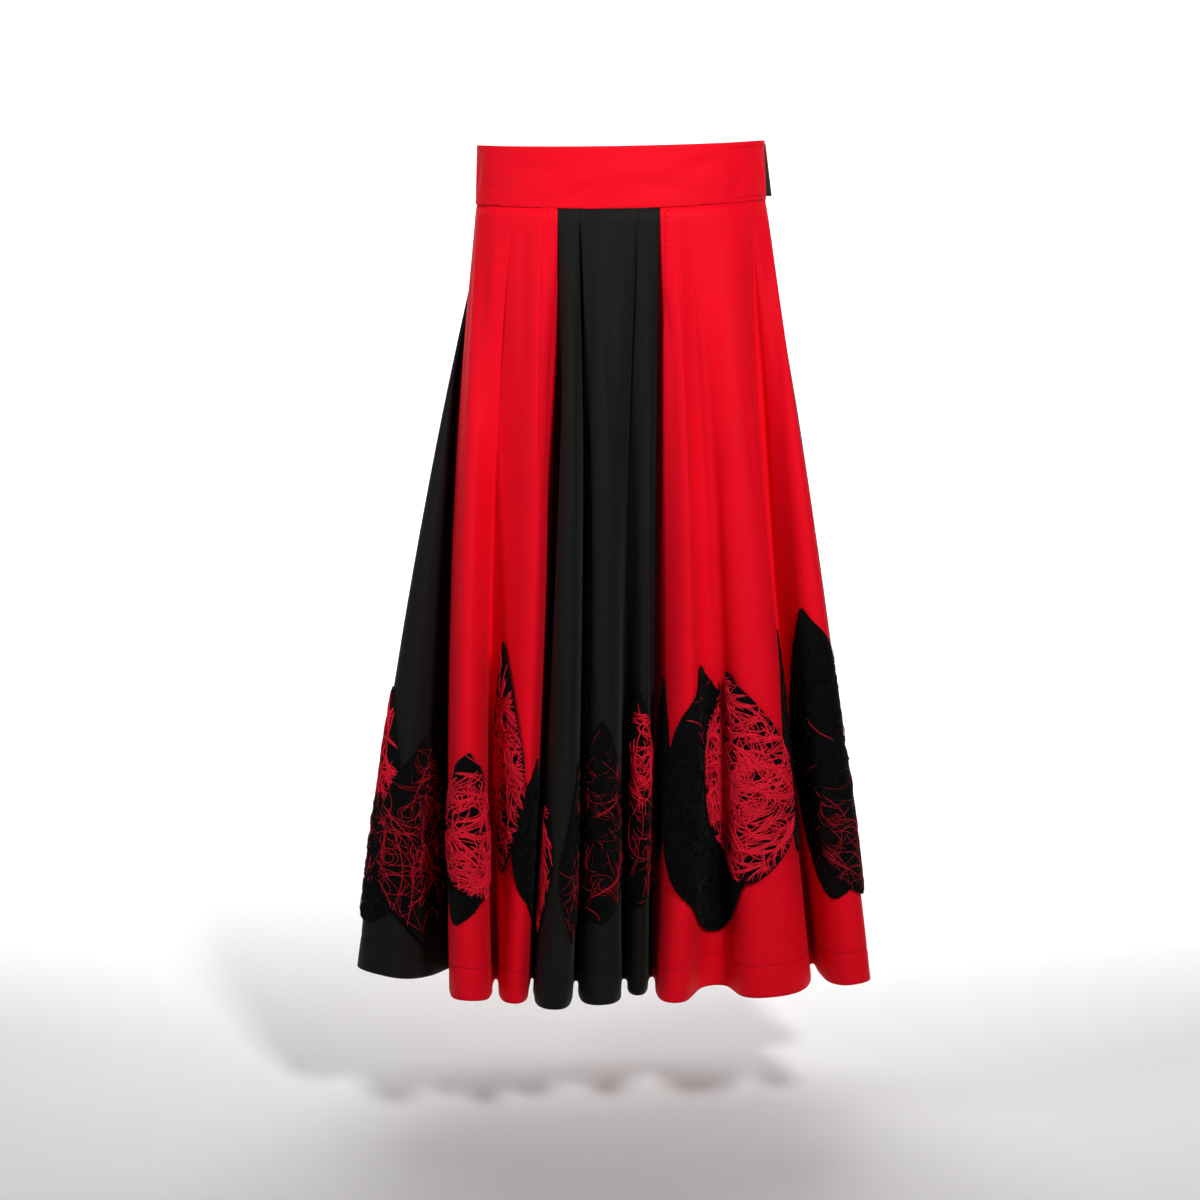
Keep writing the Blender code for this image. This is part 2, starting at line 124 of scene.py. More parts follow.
# Felt leaves. At is the place across, counted in fold lines, and top is how far the upper tip lies below
# the waist seam. Bend and lean curve and tilt the leaf, and layer 1 lies on layer 0.
Leaf = namedtuple("Leaf", "name at top length width bend lean layer")
LEAVES = [Leaf(*row) for row in (
    ("leaf_01_red_lace", 33.82, 0.512, 0.220, 0.060, 0.002, 0.000, 0),
    ("leaf_02_black_felt", 33.86, 0.625, 0.138, 0.104, -0.004, 0.000, 1),
    ("leaf_03_red_tangle", 34.38, 0.556, 0.222, 0.106, -0.004, -0.002, 2),
    ("leaf_04_black_felt", 1.92, 0.578, 0.162, 0.080, 0.002, 0.004, 0),
    ("leaf_05_red_lace", 2.14, 0.562, 0.152, 0.104, -0.004, -0.006, 1),
    ("leaf_06_red_lace", 3.56, 0.442, 0.244, 0.066, 0.003, -0.008, 1),
    ("leaf_07_black_felt", 4.32, 0.560, 0.172, 0.064, -0.005, -0.004, 0),
    ("leaf_08_red_lace", 5.64, 0.590, 0.154, 0.048, 0.004, 0.004, 0),
    ("leaf_09_black_tangle", 6.30, 0.560, 0.190, 0.060, 0.005, 0.004, 0),
    ("leaf_10_black_tangle", 8.00, 0.518, 0.212, 0.096, -0.006, 0.000, 0),
    ("leaf_11_red_lace", 9.90, 0.485, 0.236, 0.058, 0.006, -0.004, 0),
    ("leaf_12_black_felt", 11.42, 0.480, 0.200, 0.044, 0.002, 0.002, 0),
    ("leaf_13_black_felt", 12.80, 0.466, 0.290, 0.166, -0.006, -0.012, 1),
    ("leaf_14_red_lace", 13.68, 0.474, 0.222, 0.142, -0.004, -0.010, 2),
    ("leaf_15_black_felt", 14.48, 0.440, 0.235, 0.056, 0.004, 0.006, 0),
    ("leaf_16_black_felt", 15.80, 0.420, 0.306, 0.142, 0.003, -0.005, 0),
    ("leaf_17_red_tangle", 16.12, 0.560, 0.165, 0.080, 0.004, -0.004, 1),
    ("leaf_18_red_lace", 18.46, 0.500, 0.210, 0.058, 0.004, 0.004, 0),
    ("leaf_19_black_tangle", 20.05, 0.540, 0.195, 0.088, -0.006, 0.006, 0),
    ("leaf_20_red_lace", 21.80, 0.470, 0.240, 0.072, 0.006, -0.006, 0),
    ("leaf_21_black_felt", 24.10, 0.430, 0.280, 0.108, -0.010, 0.008, 0),
    ("leaf_22_red_tangle", 24.20, 0.530, 0.165, 0.076, 0.006, 0.006, 1),
    ("leaf_23_black_felt", 26.10, 0.520, 0.210, 0.092, 0.008, -0.006, 0),
    ("leaf_24_black_felt", 27.95, 0.460, 0.260, 0.100, 0.010, 0.006, 0),
    ("leaf_25_red_lace", 30.05, 0.510, 0.205, 0.086, -0.006, 0.006, 0),
    ("leaf_26_red_lace", 31.95, 0.550, 0.180, 0.076, 0.006, 0.004, 0),
)]

# Soft creases in the cloth. Across and drift are counted in fold lines, top and bottom are
# shares of the length, width is in metres, and a crease with a depth below zero stands up as a ridge.
Crease = namedtuple("Crease", "across top bottom drift width depth")
CREASES = [Crease(*row) for row in (
    (0.30, 0.02, 0.34, 0.10, 0.010, 0.0020),
    (0.70, 0.10, 0.52, -0.12, 0.008, 0.0014),
    (1.55, 0.01, 0.28, 0.10, 0.009, 0.0022),
    (2.25, 0.03, 0.30, -0.08, 0.012, 0.0022),
    (2.60, 0.00, 0.16, 0.05, 0.008, -0.0017),
    (2.80, 0.22, 0.60, 0.05, 0.007, 0.0013),
    (3.50, 0.00, 0.22, 0.12, 0.007, 0.0018),
    (4.25, 0.05, 0.36, -0.12, 0.006, 0.0014),
    (5.10, 0.01, 0.66, 0.10, 0.017, 0.0068),
    (6.20, 0.00, 0.20, 0.20, 0.006, 0.0014),
    (7.50, 0.00, 0.25, 0.05, 0.007, 0.0017),
    (7.95, 0.86, 1.02, 0.10, 0.007, 0.0015),
    (8.35, 0.02, 0.30, -0.10, 0.008, 0.0020),
    (8.75, 0.00, 0.18, 0.12, 0.007, 0.0020),
    (10.20, 0.02, 0.40, 0.08, 0.006, 0.0014),
    (10.60, 0.01, 0.72, 0.12, 0.017, 0.0068),
    (11.35, 0.10, 0.17, 0.10, 0.005, 0.0022),
    (11.60, 0.04, 0.34, 0.06, 0.008, 0.0014),
    (12.50, 0.01, 0.76, 0.16, 0.017, 0.0075),
    (13.45, 0.03, 0.42, -0.10, 0.010, 0.0018),
    (14.12, 0.18, 0.48, 0.16, 0.007, 0.0022),
    (14.55, 0.01, 0.62, 0.12, 0.015, 0.0058),
    (14.75, 0.35, 0.70, -0.12, 0.009, 0.0013),
    (15.60, 0.02, 0.30, 0.14, 0.008, 0.0020),
    (16.35, 0.05, 0.38, -0.08, 0.010, 0.0017),
    (17.45, 0.03, 0.40, 0.10, 0.008, 0.0017),
    (18.30, 0.00, 0.26, -0.10, 0.009, 0.0020),
    (19.60, 0.04, 0.34, 0.10, 0.010, 0.0020),
    (20.40, 0.08, 0.55, -0.14, 0.009, 0.0015),
    (21.50, 0.01, 0.30, 0.08, 0.008, 0.0018),
    (22.40, 0.03, 0.22, -0.06, 0.007, 0.0017),
    (23.55, 0.02, 0.36, 0.12, 0.010, 0.0018),
    (24.40, 0.00, 0.18, -0.05, 0.009, -0.0017),
    (24.75, 0.20, 0.66, 0.10, 0.009, 0.0014),
    (25.60, 0.02, 0.30, 0.08, 0.008, 0.0020),
    (26.35, 0.04, 0.42, -0.10, 0.010, 0.0017),
    (27.55, 0.01, 0.26, 0.10, 0.008, 0.0020),
    (28.30, 0.05, 0.50, -0.08, 0.011, 0.0015),
    (29.50, 0.02, 0.34, 0.10, 0.009, 0.0018),
    (30.45, 0.03, 0.28, -0.08, 0.009, 0.0018),
    (31.60, 0.02, 0.40, 0.08, 0.008, 0.0017),
    (32.30, 0.04, 0.36, -0.10, 0.010, 0.0017),
    (33.45, 0.02, 0.30, 0.12, 0.008, 0.0017),
)]

# Small relief of the cloth: hollows along the seams, the row of the hem and the waist, slow ripples that
# grow toward the hem, and the puckers beside its stitches
SEAM_DIP = 0.0007
SEAM_DIP_WIDTH = 0.0018
RIPPLE = 0.0006
PUCKER = 0.0005
PUCKER_WIDTH = 0.014
SEWN_DIP = 0.0006
SEWN_DIP_WIDTH = 0.0015
WAIST_DIP = 0.0005
WAIST_DIP_WIDTH = 0.004

# Soft hollows and ridges of the waistband: the place round it in degrees, the height above its lower edge
# as a share, the way the crease runs in degrees from level, its half length and half width, and its depth.
BandCrease = namedtuple("BandCrease", "degrees height turn length width depth")
BAND_CREASES = [BandCrease(*row) for row in (
    (212, 0.30, 6, 0.030, 0.007, 0.0011),
    (232, 0.62, -4, 0.036, 0.010, 0.0013),
    (252, 0.24, 38, 0.014, 0.006, 0.0013),
    (268, 0.55, 8, 0.034, 0.009, -0.0013),
    (286, 0.34, -12, 0.026, 0.008, 0.0011),
    (303, 0.66, 16, 0.024, 0.008, 0.0013),
    (322, 0.30, 62, 0.016, 0.006, 0.0018),
    (338, 0.60, -52, 0.024, 0.005, 0.0022),
    (346, 0.36, -58, 0.018, 0.004, -0.0020),
    (350, 0.62, 78, 0.018, 0.004, 0.0015),
    (192, 0.55, 74, 0.016, 0.008, 0.0015),
    (168, 0.40, -62, 0.018, 0.008, 0.0018),
    (150, 0.62, 10, 0.030, 0.009, 0.0013),
    (126, 0.30, -6, 0.034, 0.009, 0.0013),
    (104, 0.58, 20, 0.022, 0.008, 0.0013),
    (84, 0.34, -10, 0.034, 0.009, 0.0013),
    (60, 0.60, 8, 0.030, 0.009, 0.0013),
    (38, 0.40, -30, 0.018, 0.007, 0.0015),
)]

# How thread is tangled. Spacing is the distance between bundles of strands, bend is the most that a strand
# turns in radians a metre, spread is how far the strands of a bundle fan out, level is how freely bundles
# turn from their heading, dull and bright are the least and the most of the thread's colour, and step is the
# distance between the points of a strand.
Tangle = namedtuple("Tangle", "spacing strands shortest longest radius bend spread level dull bright step")
TANGLES = {
    "web": Tangle(0.0136, 5, 0.026, 0.062, 0.00062, 55.0, 0.20, 0.42, 0.60, 1.00, 0.0042),
    "net": Tangle(0.0180, 3, 0.020, 0.046, 0.00056, 80.0, 0.40, 1.40, 0.80, 1.00, 0.0042),
    "scribble": Tangle(0.0180, 2, 0.060, 0.150, 0.00036, 105.0, 0.60, 1.60, 0.20, 0.90, 0.0030),
    "loose": Tangle(0.0145, 2, 0.018, 0.060, 0.00030, 110.0, 0.60, 1.60, 0.10, 0.70, 0.0042),
    "sparse": Tangle(0.0150, 1, 0.014, 0.040, 0.00030, 110.0, 0.50, 1.60, 0.05, 0.50, 0.0042),
    "stray": Tangle(0.0380, 1, 0.020, 0.045, 0.00040, 80.0, 0.50, 1.60, 0.20, 0.80, 0.0042),
    "matted": Tangle(0.0120, 4, 0.010, 0.030, 0.00042, 120.0, 0.70, 1.60, 0.10, 1.00, 0.0050),
}

# Which thread lies on which leaf, between two shares of its length, and how bundles head from level
Cover = namedtuple("Cover", "leaf tangle first last heading")
COVERS = [Cover(*row) for row in (
    ("leaf_01_red_lace", "web", 0.03, 0.97, 85),
    ("leaf_03_red_tangle", "loose", 0.02, 0.60, 0),
    ("leaf_03_red_tangle", "scribble", 0.20, 0.98, 20),
    ("leaf_05_red_lace", "web", 0.00, 0.97, -10),
    ("leaf_05_red_lace", "net", 0.55, 0.97, 0),
    ("leaf_06_red_lace", "net", 0.08, 0.50, 70),
    ("leaf_06_red_lace", "web", 0.25, 0.97, 20),
    ("leaf_08_red_lace", "web", 0.10, 0.97, 60),
    ("leaf_09_black_tangle", "sparse", 0.05, 0.30, 0),
    ("leaf_09_black_tangle", "loose", 0.62, 0.97, 60),
    ("leaf_10_black_tangle", "sparse", 0.10, 0.70, 0),
    ("leaf_10_black_tangle", "loose", 0.36, 0.52, 0),
    ("leaf_10_black_tangle", "loose", 0.68, 0.97, 0),
    ("leaf_11_red_lace", "web", 0.03, 0.48, 50),
    ("leaf_11_red_lace", "loose", 0.46, 0.97, 0),
    ("leaf_13_black_felt", "stray", 0.06, 0.30, 80),
    ("leaf_14_red_lace", "web", 0.05, 0.97, 8),
    ("leaf_14_red_lace", "net", 0.10, 0.90, 40),
    ("leaf_16_black_felt", "stray", 0.40, 0.90, 60),
    ("leaf_17_red_tangle", "stray", 0.05, 0.50, 60),
    ("leaf_17_red_tangle", "loose", 0.40, 0.98, 0),
    ("leaf_17_red_tangle", "loose", 0.60, 0.98, 0),
    ("leaf_18_red_lace", "web", 0.05, 0.97, 30),
    ("leaf_19_black_tangle", "sparse", 0.08, 0.97, 0),
    ("leaf_19_black_tangle", "loose", 0.60, 0.97, 0),
    ("leaf_20_red_lace", "web", 0.05, 0.97, -15),
    ("leaf_20_red_lace", "net", 0.50, 0.90, 30),
    ("leaf_22_red_tangle", "scribble", 0.10, 0.97, 0),
    ("leaf_24_black_felt", "stray", 0.10, 0.60, 70),
    ("leaf_25_red_lace", "web", 0.05, 0.97, 10),
    ("leaf_26_red_lace", "web", 0.05, 0.97, 70),
)]


def length_of(name, description, default):
    """A length that a user can change"""
    return bpy.props.FloatProperty(name=name, description=description, default=default, unit="LENGTH")


def colour_of(name, description, default):
    """A colour that a user can change"""
    return bpy.props.FloatVectorProperty(
        name=name, description=description, default=default, subtype="COLOR"
    )


class SkirtSizes(bpy.types.PropertyGroup):
    waist_half_width: length_of("Waist half width", "Half the waist oval's width", 0.150)
    waist_half_depth: length_of("Waist half depth", "Half the waist oval's depth", 0.085)
    rise_to_right: length_of("Rise to the right", "How much higher the band's right side lies", 0.0025)
    dip_at_front: length_of("Dip at the front", "How far the band dips at the centre front", 0.0055)
    dip_at_back: length_of("Dip at the back", "How far the band dips at the centre back", 0.002)
    length: length_of("Length", "Waist seam to hem along the cloth", 0.815)
    hem_turn: length_of("Hem turn", "Height of the turned-up hem", 0.033)
    cloth: length_of("Cloth", "Thickness of the gores", 0.0012)
    hem_cloth: length_of("Hem cloth", "Thickness of the turned hem", 0.0019)
    seam_gap: length_of("Seam gap", "Room between pieces at a seam", 0.0003)
    band_height: length_of("Band height", "Height of the waistband", 0.060)
    band_cloth: length_of("Band cloth", "Thickness of the doubled waistband", 0.0024)
    felt: length_of("Felt", "Thickness of the felt leaves", 0.0012)
    stitch: length_of("Stitch", "Length of one stitch with its gap", 0.0034)


class SkirtColours(bpy.types.PropertyGroup):
    red_cloth: colour_of("Red cloth", "Colour of the red twill", (0.84, 0.0030, 0.0150))
    black_cloth: colour_of("Black cloth", "Colour of the black twill", (0.0110, 0.0110, 0.0104))
    bright_thread: colour_of("Bright thread", "Colour of the brightest red thread", (0.92, 0.012, 0.040))
    dull_thread: colour_of("Dull thread", "Colour of the dullest red thread", (0.12, 0.002, 0.006))
    black_felt: colour_of("Black felt", "Colour of the felt leaves", (0.0024, 0.0022, 0.0022))
    # The strip's colour is painted shade: dark like the shadow on the band's flared end past the lap
    tape: colour_of("Tape", "Colour of the fastening tape", (0.020, 0.012, 0.012))


# The waistband's turn: where its hidden start lies, where it comes out from under the lap, and its end
LAP_START_DEG = -42.0
LAP_LEAVES_DEG = 2.0
LAP_JOINS_DEG = 26.0
LAP_END_DEG = 354.0
LAP_SPACE = 0.0018
BAND_PROUD = 0.0008
BAND_FLARE = 0.002
BAND_EDGE = 0.0006

TAPE_THICK = 0.0010
TAPE_HEIGHT = 0.054
TAPE_START_DEG = 326.0
TAPE_LEAVES_DEG = 355.5
TAPE_END_DEG = 361.5
TAPE_FLARE_TOP = 0.0015
TAPE_FLARE_BOTTOM = 0.0065

# Felt leaves: the room below one, and between two of them, how the outline bulges, how far the raw edge
# strays, the pitch and height of the lumps, and the loose fibres along each metre of length
FELT_GAP = 0.0005
OVER_GAP = 0.0004
FULLEST_LOW = 1.3
ROUNDNESS = 0.7
RAW_EDGE = 0.0011
LUMPS_PER_METRE = 130
LUMP_HEIGHT = 0.00045
HAIRS_PER_METRE = 620

# Sewing: one stitch, how far it stands out, and how bright its thread is
STITCH_LENGTH = 0.0026
STITCH_RADIUS = 0.00028
STITCH_LIFT = 0.0001
STITCH_TONE = 0.8

# The stitched edge beside the right front seam: the fold line of the seam, how far from it the edge lies,
# between which shares down it runs, and the pitch and the reach of the short stitches across it
PLACKET_SEAM = 11.0
PLACKET_WIDTH = 0.0048
PLACKET_TOP = 0.004
PLACKET_BOTTOM = 0.150
PLACKET_TICK = 0.0062
PLACKET_REACH = (-0.0006, 0.0052)

# Corners of the sewn box on the waistband's lap: degrees round it, and shares of its height
LAP_BOX = ((317.0, 0.08), (317.0, 0.92), (352.6, 0.92), (352.6, 0.08), (317.0, 0.08))

# Samples of the hem curve between two fold lines, and the grids that the sheets are made on
FINE = 48
COLUMNS_PER_FOLD = 18
BODY_ROWS = 70
HEM_ROWS = 8
BAND_COLUMNS = 330
BAND_ROWS = 20
TAPE_COLUMNS = 60
TAPE_ROWS = 8
LEAF_COLUMNS = 22
LEAF_ROWS = 60
BED_ROWS = 40


def sizes():
    return bpy.context.scene.skirt_sizes


def colours():
    return bpy.context.scene.skirt_colours


def unit(vectors):
    """Vectors of length one"""
    return vectors / np.maximum(np.linalg.norm(vectors, axis=-1, keepdims=True), 1e-12)


def run_lengths(points):
    """How far along its line each point lies"""
    return np.append(0.0, np.cumsum(np.linalg.norm(np.diff(points, axis=0), axis=1)))


def swell(distance, width):
    """A soft hill that is 1 high in its middle and fades out over the width"""
    return np.exp(-((distance / width) ** 2))


def apart(across):
    """A distance across by the shorter way round"""
    return np.mod(across + COUNT / 2, COUNT) - COUNT / 2


def eased(value):
    """A smooth step from 0 to 1"""
    value = np.clip(value, 0.0, 1.0)
    return value * value * (3 - 2 * value)


def on_oval(degrees, out=0.0):
    """Points of the waist oval seen from above, moved out from it"""
    angle = np.radians(degrees)
    size = sizes()
    across = (size.waist_half_width + out) * np.cos(angle)
    return np.stack([across, (size.waist_half_depth + out) * np.sin(angle)], axis=-1)


def waist_height(plan):
    """Height of the waistband's middle, which rises a little to the right and dips at the front and back"""
    size = sizes()
    dip = np.where(plan[..., 1] < 0, size.dip_at_front, size.dip_at_back)
    right = size.rise_to_right * plan[..., 0] / size.waist_half_width
    return right - dip * (plan[..., 1] / size.waist_half_depth) ** 2


class Drape:
    """The skirt's cloth, read at any place across, counted in fold lines, and any share of its length"""

    def __init__(self):
        hem = np.array([(fold.hem_x, fold.hem_y) for fold in FOLDS])
        depth = hem - (np.roll(hem, 1, axis=0) + np.roll(hem, -1, axis=0)) / 2
        across = unit(np.stack([-depth[:, 1], depth[:, 0]], axis=-1))
        onward = np.roll(hem, -1, axis=0) - np.roll(hem, 1, axis=0)
        across *= np.where((across * onward).sum(axis=1) > 0, 1.0, -1.0)[:, None]
        turn = np.linspace(0, 1, FINE + 1)[:, None]
        lines = []
        for number, fold in enumerate(FOLDS):
            after = (number + 1) % COUNT
            following = FOLDS[after]
            leaves = hem[number] + across[number] * fold.after
            arrives = hem[after] - across[after] * following.before
            curve = hem[number] * (1 - turn) ** 3 + leaves * 3 * turn * (1 - turn) ** 2
            curve = curve + arrives * 3 * turn**2 * (1 - turn) + hem[after] * turn**3
            reach = run_lengths(curve)
            share = reach / reach[-1]
            angle = fold.waist_deg + (following.waist_deg - fold.waist_deg) % 360 * share
            bow = fold.bow + (following.bow - fold.bow) * share
            lines.append(np.column_stack([on_oval(angle), curve, bow])[:-1])
        self.lines = np.concatenate(lines)
        self.hem_reach = run_lengths(np.vstack([self.lines, self.lines[:1]])[:, 2:4])

    def plain(self, across, share):
        """Points of the cloth before its creases"""
        size = sizes()
        spot = np.mod(across, COUNT) * FINE
        low = np.floor(spot).astype(int)
        part = (spot - low)[..., None]
        total = len(self.lines)
        line = self.lines[low % total] * (1 - part) + self.lines[(low + 1) % total] * part
        waist, run = line[..., 0:2], line[..., 2:4] - line[..., 0:2]
        top = waist_height(waist) - size.band_height / 2 - size.seam_gap
        drop = np.sqrt(size.length**2 - (run * run).sum(axis=-1))
        plan = waist + run * share[..., None]
        bowed = plan[..., 0] + 4 * share * (1 - share) * line[..., 4]
        return np.stack([bowed, plan[..., 1], top - share * drop], axis=-1)

    def ways(self, across, share):
        """The way along the cloth for each fold line's step, and the way out of it"""
        step = 0.02
        along = (self.plain(across + step, share) - self.plain(across - step, share)) / (2 * step)
        up = self.plain(across, share - step) - self.plain(across, share + step)
        return along, unit(np.cross(along, up))

    def beside(self, start, distance, share):
        """The place across that lies a distance along the cloth from another place"""
        trail = np.linspace(start, start + 1.0, 2 * FINE)
        found = []
        for level in share:
            points = self.plain(trail, np.full(len(trail), level))
            found.append(np.interp(distance, run_lengths(points), trail))
        return np.array(found)

    def relief(self, across, share, pace):
        """How far creases, ripples and the hem's sewing lift the cloth"""
        size = sizes()
        lift = np.zeros(np.shape(across))
        for crease in CREASES:
            along = (share - crease.top) / (crease.bottom - crease.top)
            beside = apart(across - crease.across - crease.drift * along)
            fade = np.sin(math.pi * np.clip(along, 0, 1)) ** 0.8
            lift -= crease.depth * fade * swell(beside * pace, crease.width)
        reach = np.interp(np.mod(across, COUNT) * FINE, np.arange(len(self.hem_reach)), self.hem_reach)
        for gore in GORES:
            lift -= SEAM_DIP * swell(apart(across - gore.first) * pace, SEAM_DIP_WIDTH)
        below = (share - 1) * size.length + size.hem_turn
        ripple = np.sin(reach / 0.021) + 0.6 * np.sin(reach / 0.0083 + 2.0)
        lift += RIPPLE * share**2 * ripple * np.sin(5.0 * share + reach / 0.11)
        pucker = np.sin(reach / 0.0056 + 2 * np.sin(reach / 0.05))
        lift += PUCKER * pucker * swell(below, PUCKER_WIDTH)
        lift -= SEWN_DIP * swell(below, SEWN_DIP_WIDTH)
        lift -= WAIST_DIP * swell(share * size.length, WAIST_DIP_WIDTH)
        return lift

    def cloth(self, across, share, out=0.0):
        """Points of the creased cloth's outer face, moved out from it, and the way out there"""
        across, share = np.broadcast_arrays(np.asarray(across, float), np.asarray(share, float))
        along, outward = self.ways(across, share)
        pace = np.linalg.norm(along, axis=-1)
        lift = self.relief(across, share, pace) + out
        return self.plain(across, share) + outward * np.asarray(lift)[..., None], outward


class Bed:
    """The flat leaf laid on the cloth: sideways is measured along the cloth from the leaf's place"""

    side = 0.10
    grain = 0.001

    def __init__(self, drape, leaf):
        self.drape = drape
        self.leaf = leaf
        reach = 2.2
        across = np.linspace(leaf.at - reach, leaf.at + reach, 2 * int(reach * FINE) + 1)
        sideways = np.arange(-self.side, self.side + self.grain / 2, self.grain)
        down = np.linspace(-0.02, leaf.length + 0.02, BED_ROWS)
        self.down = down
        rows = []
        for row in down:
            share = np.full(len(across), (leaf.top + row) / sizes().length)
            points = drape.plain(across, share)
            arc = run_lengths(points)
            rows.append(np.interp(sideways, arc - np.interp(leaf.at, across, arc), across))
        self.places = np.array(rows)

    def spots(self, sideways, down):
        """Places across and shares of the length for points of the flat leaf"""
        column = np.clip((sideways + self.side) / self.grain, 0, self.places.shape[1] - 1.001)
        row = np.interp(down, self.down, np.arange(BED_ROWS))
        row = np.clip(row, 0, BED_ROWS - 1.001)
        c, r = np.floor(column).astype(int), np.floor(row).astype(int)
        right, below = column - c, row - r
        upper = self.places[r, c] * (1 - right) + self.places[r, c + 1] * right
        lower = self.places[r + 1, c] * (1 - right) + self.places[r + 1, c + 1] * right
        return upper * (1 - below) + lower * below, (self.leaf.top + down) / sizes().length

    def points(self, sideways, down, out):
        across, share = self.spots(sideways, down)
        return self.drape.cloth(across, share, out)

    def half_width(self, share):
        bulge = np.maximum(np.sin(math.pi * np.clip(share, 0, 1) ** FULLEST_LOW), 0.0)
        return self.leaf.width / 2 * bulge**ROUNDNESS

    def middle(self, share):
        return self.leaf.lean * (1 - 2 * share) + self.leaf.bend * np.sin(math.pi * share)

    def top_face(self):
        """How far the felt's outer face stands out from the cloth"""
        felt = sizes().felt
        return FELT_GAP + self.leaf.layer * (felt + OVER_GAP) + felt


class Wire:
    """A shader socket that sums and products can be written with"""

    def __init__(self, finish, socket):
        self.finish = finish
        self.socket = socket

    def math(self, operation, *values):
        return self.finish.add("ShaderNodeMath", {"operation": operation}, dict(enumerate(values)))

    def __add__(self, other):
        return self.math("ADD", self, other)

    __radd__ = __add__

    def __sub__(self, other):
        return self.math("SUBTRACT", self, other)

    def __rsub__(self, other):
        return self.math("SUBTRACT", other, self)

    def __mul__(self, other):
        return self.math("MULTIPLY", self, other)

    __rmul__ = __mul__

    def sine(self):
        return self.math("SINE", self)


class Finish:
    """One material: its surface shader, and the nodes that vary it"""

    def __init__(self, name, roughness, specular, sheen=0.0, sheen_roughness=0.5, sheen_tint=(1, 1, 1)):
        self.material = bpy.data.materials.new(name)
        self.material.use_nodes = True
        self.nodes = self.material.node_tree.nodes
        self.surface = self.nodes["Principled BSDF"]
        self.set("Roughness", roughness)
        self.set("Specular IOR Level", specular)
        self.set("Sheen Weight", sheen)
        self.set("Sheen Roughness", sheen_roughness)
        self.set("Sheen Tint", (*sheen_tint, 1.0))

    def set(self, name, value):
        """Give one of the surface's sockets a value, or a wire"""
        self.fill(self.surface.inputs[name], value)

    def fill(self, socket, value):
        if isinstance(value, Wire):
            self.material.node_tree.links.new(value.socket, socket)
        else:
            socket.default_value = value

    def add(self, kind, settings, sockets, output=0):
        """A node with its settings and its sockets filled, as the wire of one output"""
        node = self.nodes.new(kind)
        for name, value in settings.items():
            setattr(node, name, value)
        for name, value in sockets.items():
            self.fill(node.inputs[name], value)
        return Wire(self, node.outputs[output])

    def mix(self, factor, one, other):
        """A colour between two colours"""
        sockets = {0: factor, 6: (*one, 1.0), 7: (*other, 1.0)}
        return self.add("ShaderNodeMix", {"data_type": "RGBA"}, sockets, 2)

    def object_place(self):
        return self.add("ShaderNodeTexCoord", {}, {}, "Object")

    def cut_place(self, scale=(1, 1, 1)):
        """The place on the flat cut of the cloth, in metres times a scale"""
        flat = self.add("ShaderNodeUVMap", {"uv_map": "cut"}, {})
        return self.add("ShaderNodeVectorMath", {"operation": "MULTIPLY"}, {0: flat, 1: scale})

    def noise(self, place, scale, detail=2.0, roughness=0.5):
        sockets = {"Vector": place, "Scale": scale, "Detail": detail, "Roughness": roughness}
        return self.add("ShaderNodeTexNoise", {}, sockets, "Fac")

    def bump(self, height, distance, strength=1.0):
        sockets = {"Height": height, "Distance": distance, "Strength": strength}
        self.set("Normal", self.add("ShaderNodeBump", {}, sockets))


def shade(colour, share):
    """A colour made darker or lighter"""
    return tuple(min(value * share, 1.0) for value in colour)


def twill(name, colour, sheen, sheen_tint):
    """Fine twill with slubs in the weave and cloudy places from wear"""
    finish = Finish(name, 0.62, 0.05, sheen, 0.42, sheen_tint)
    place = finish.cut_place()
    split = {"Vector": place}
    run = finish.add("ShaderNodeSeparateXYZ", {}, split, "X")
    down = finish.add("ShaderNodeSeparateXYZ", {}, split, "Y")
    diagonal = ((run + down * 0.8) * (2 * math.pi / 0.0009)).sine()
    crossing = (down * (2 * math.pi / 0.0007)).sine()
    slub = finish.noise(finish.cut_place((180, 1400, 1)), 1.0, 3.0, 0.6)
    cloud = finish.noise(finish.object_place(), 14.0, 3.0, 0.55)
    darker = finish.mix(slub * 0.5 + cloud * 0.5, shade(colour, 0.84), shade(colour, 1.12))
    finish.set("Base Color", darker)
    finish.set("Roughness", 0.54 + cloud * 0.14)
    finish.bump(diagonal * 0.30 + crossing * 0.15 + slub * 1.1, 0.00012, 0.55)
    return finish.material


def felt(name, colour):
    """Matted felt with fuzz and clumps"""
    finish = Finish(name, 0.92, 0.04, 0.04, 0.6, (0.5, 0.5, 0.5))
    place = finish.object_place()
    fuzz = finish.noise(place, 1300.0, 3.0, 0.7)
    clump = finish.noise(place, 150.0, 3.0, 0.6)
    finish.set("Base Color", finish.mix(clump * 0.6 + fuzz * 0.4, shade(colour, 0.35), shade(colour, 2.1)))
    finish.bump(fuzz * 0.5 + clump, 0.0007, 0.9)
    return finish.material


def spun_thread(name, dull, bright, specular):
    """Thread whose strands differ in brightness, with worn places along them"""
    finish = Finish(name, 0.60, specular, 0.0)
    tone = finish.add("ShaderNodeAttribute", {"attribute_name": "tone"}, {}, "Fac")
    worn = finish.noise(finish.object_place(), 420.0, 2.0, 0.6)
    finish.set("Base Color", finish.mix(tone * (0.45 + worn * 1.1), dull, bright))
    finish.bump(worn, 0.0002, 0.5)
    return finish.material


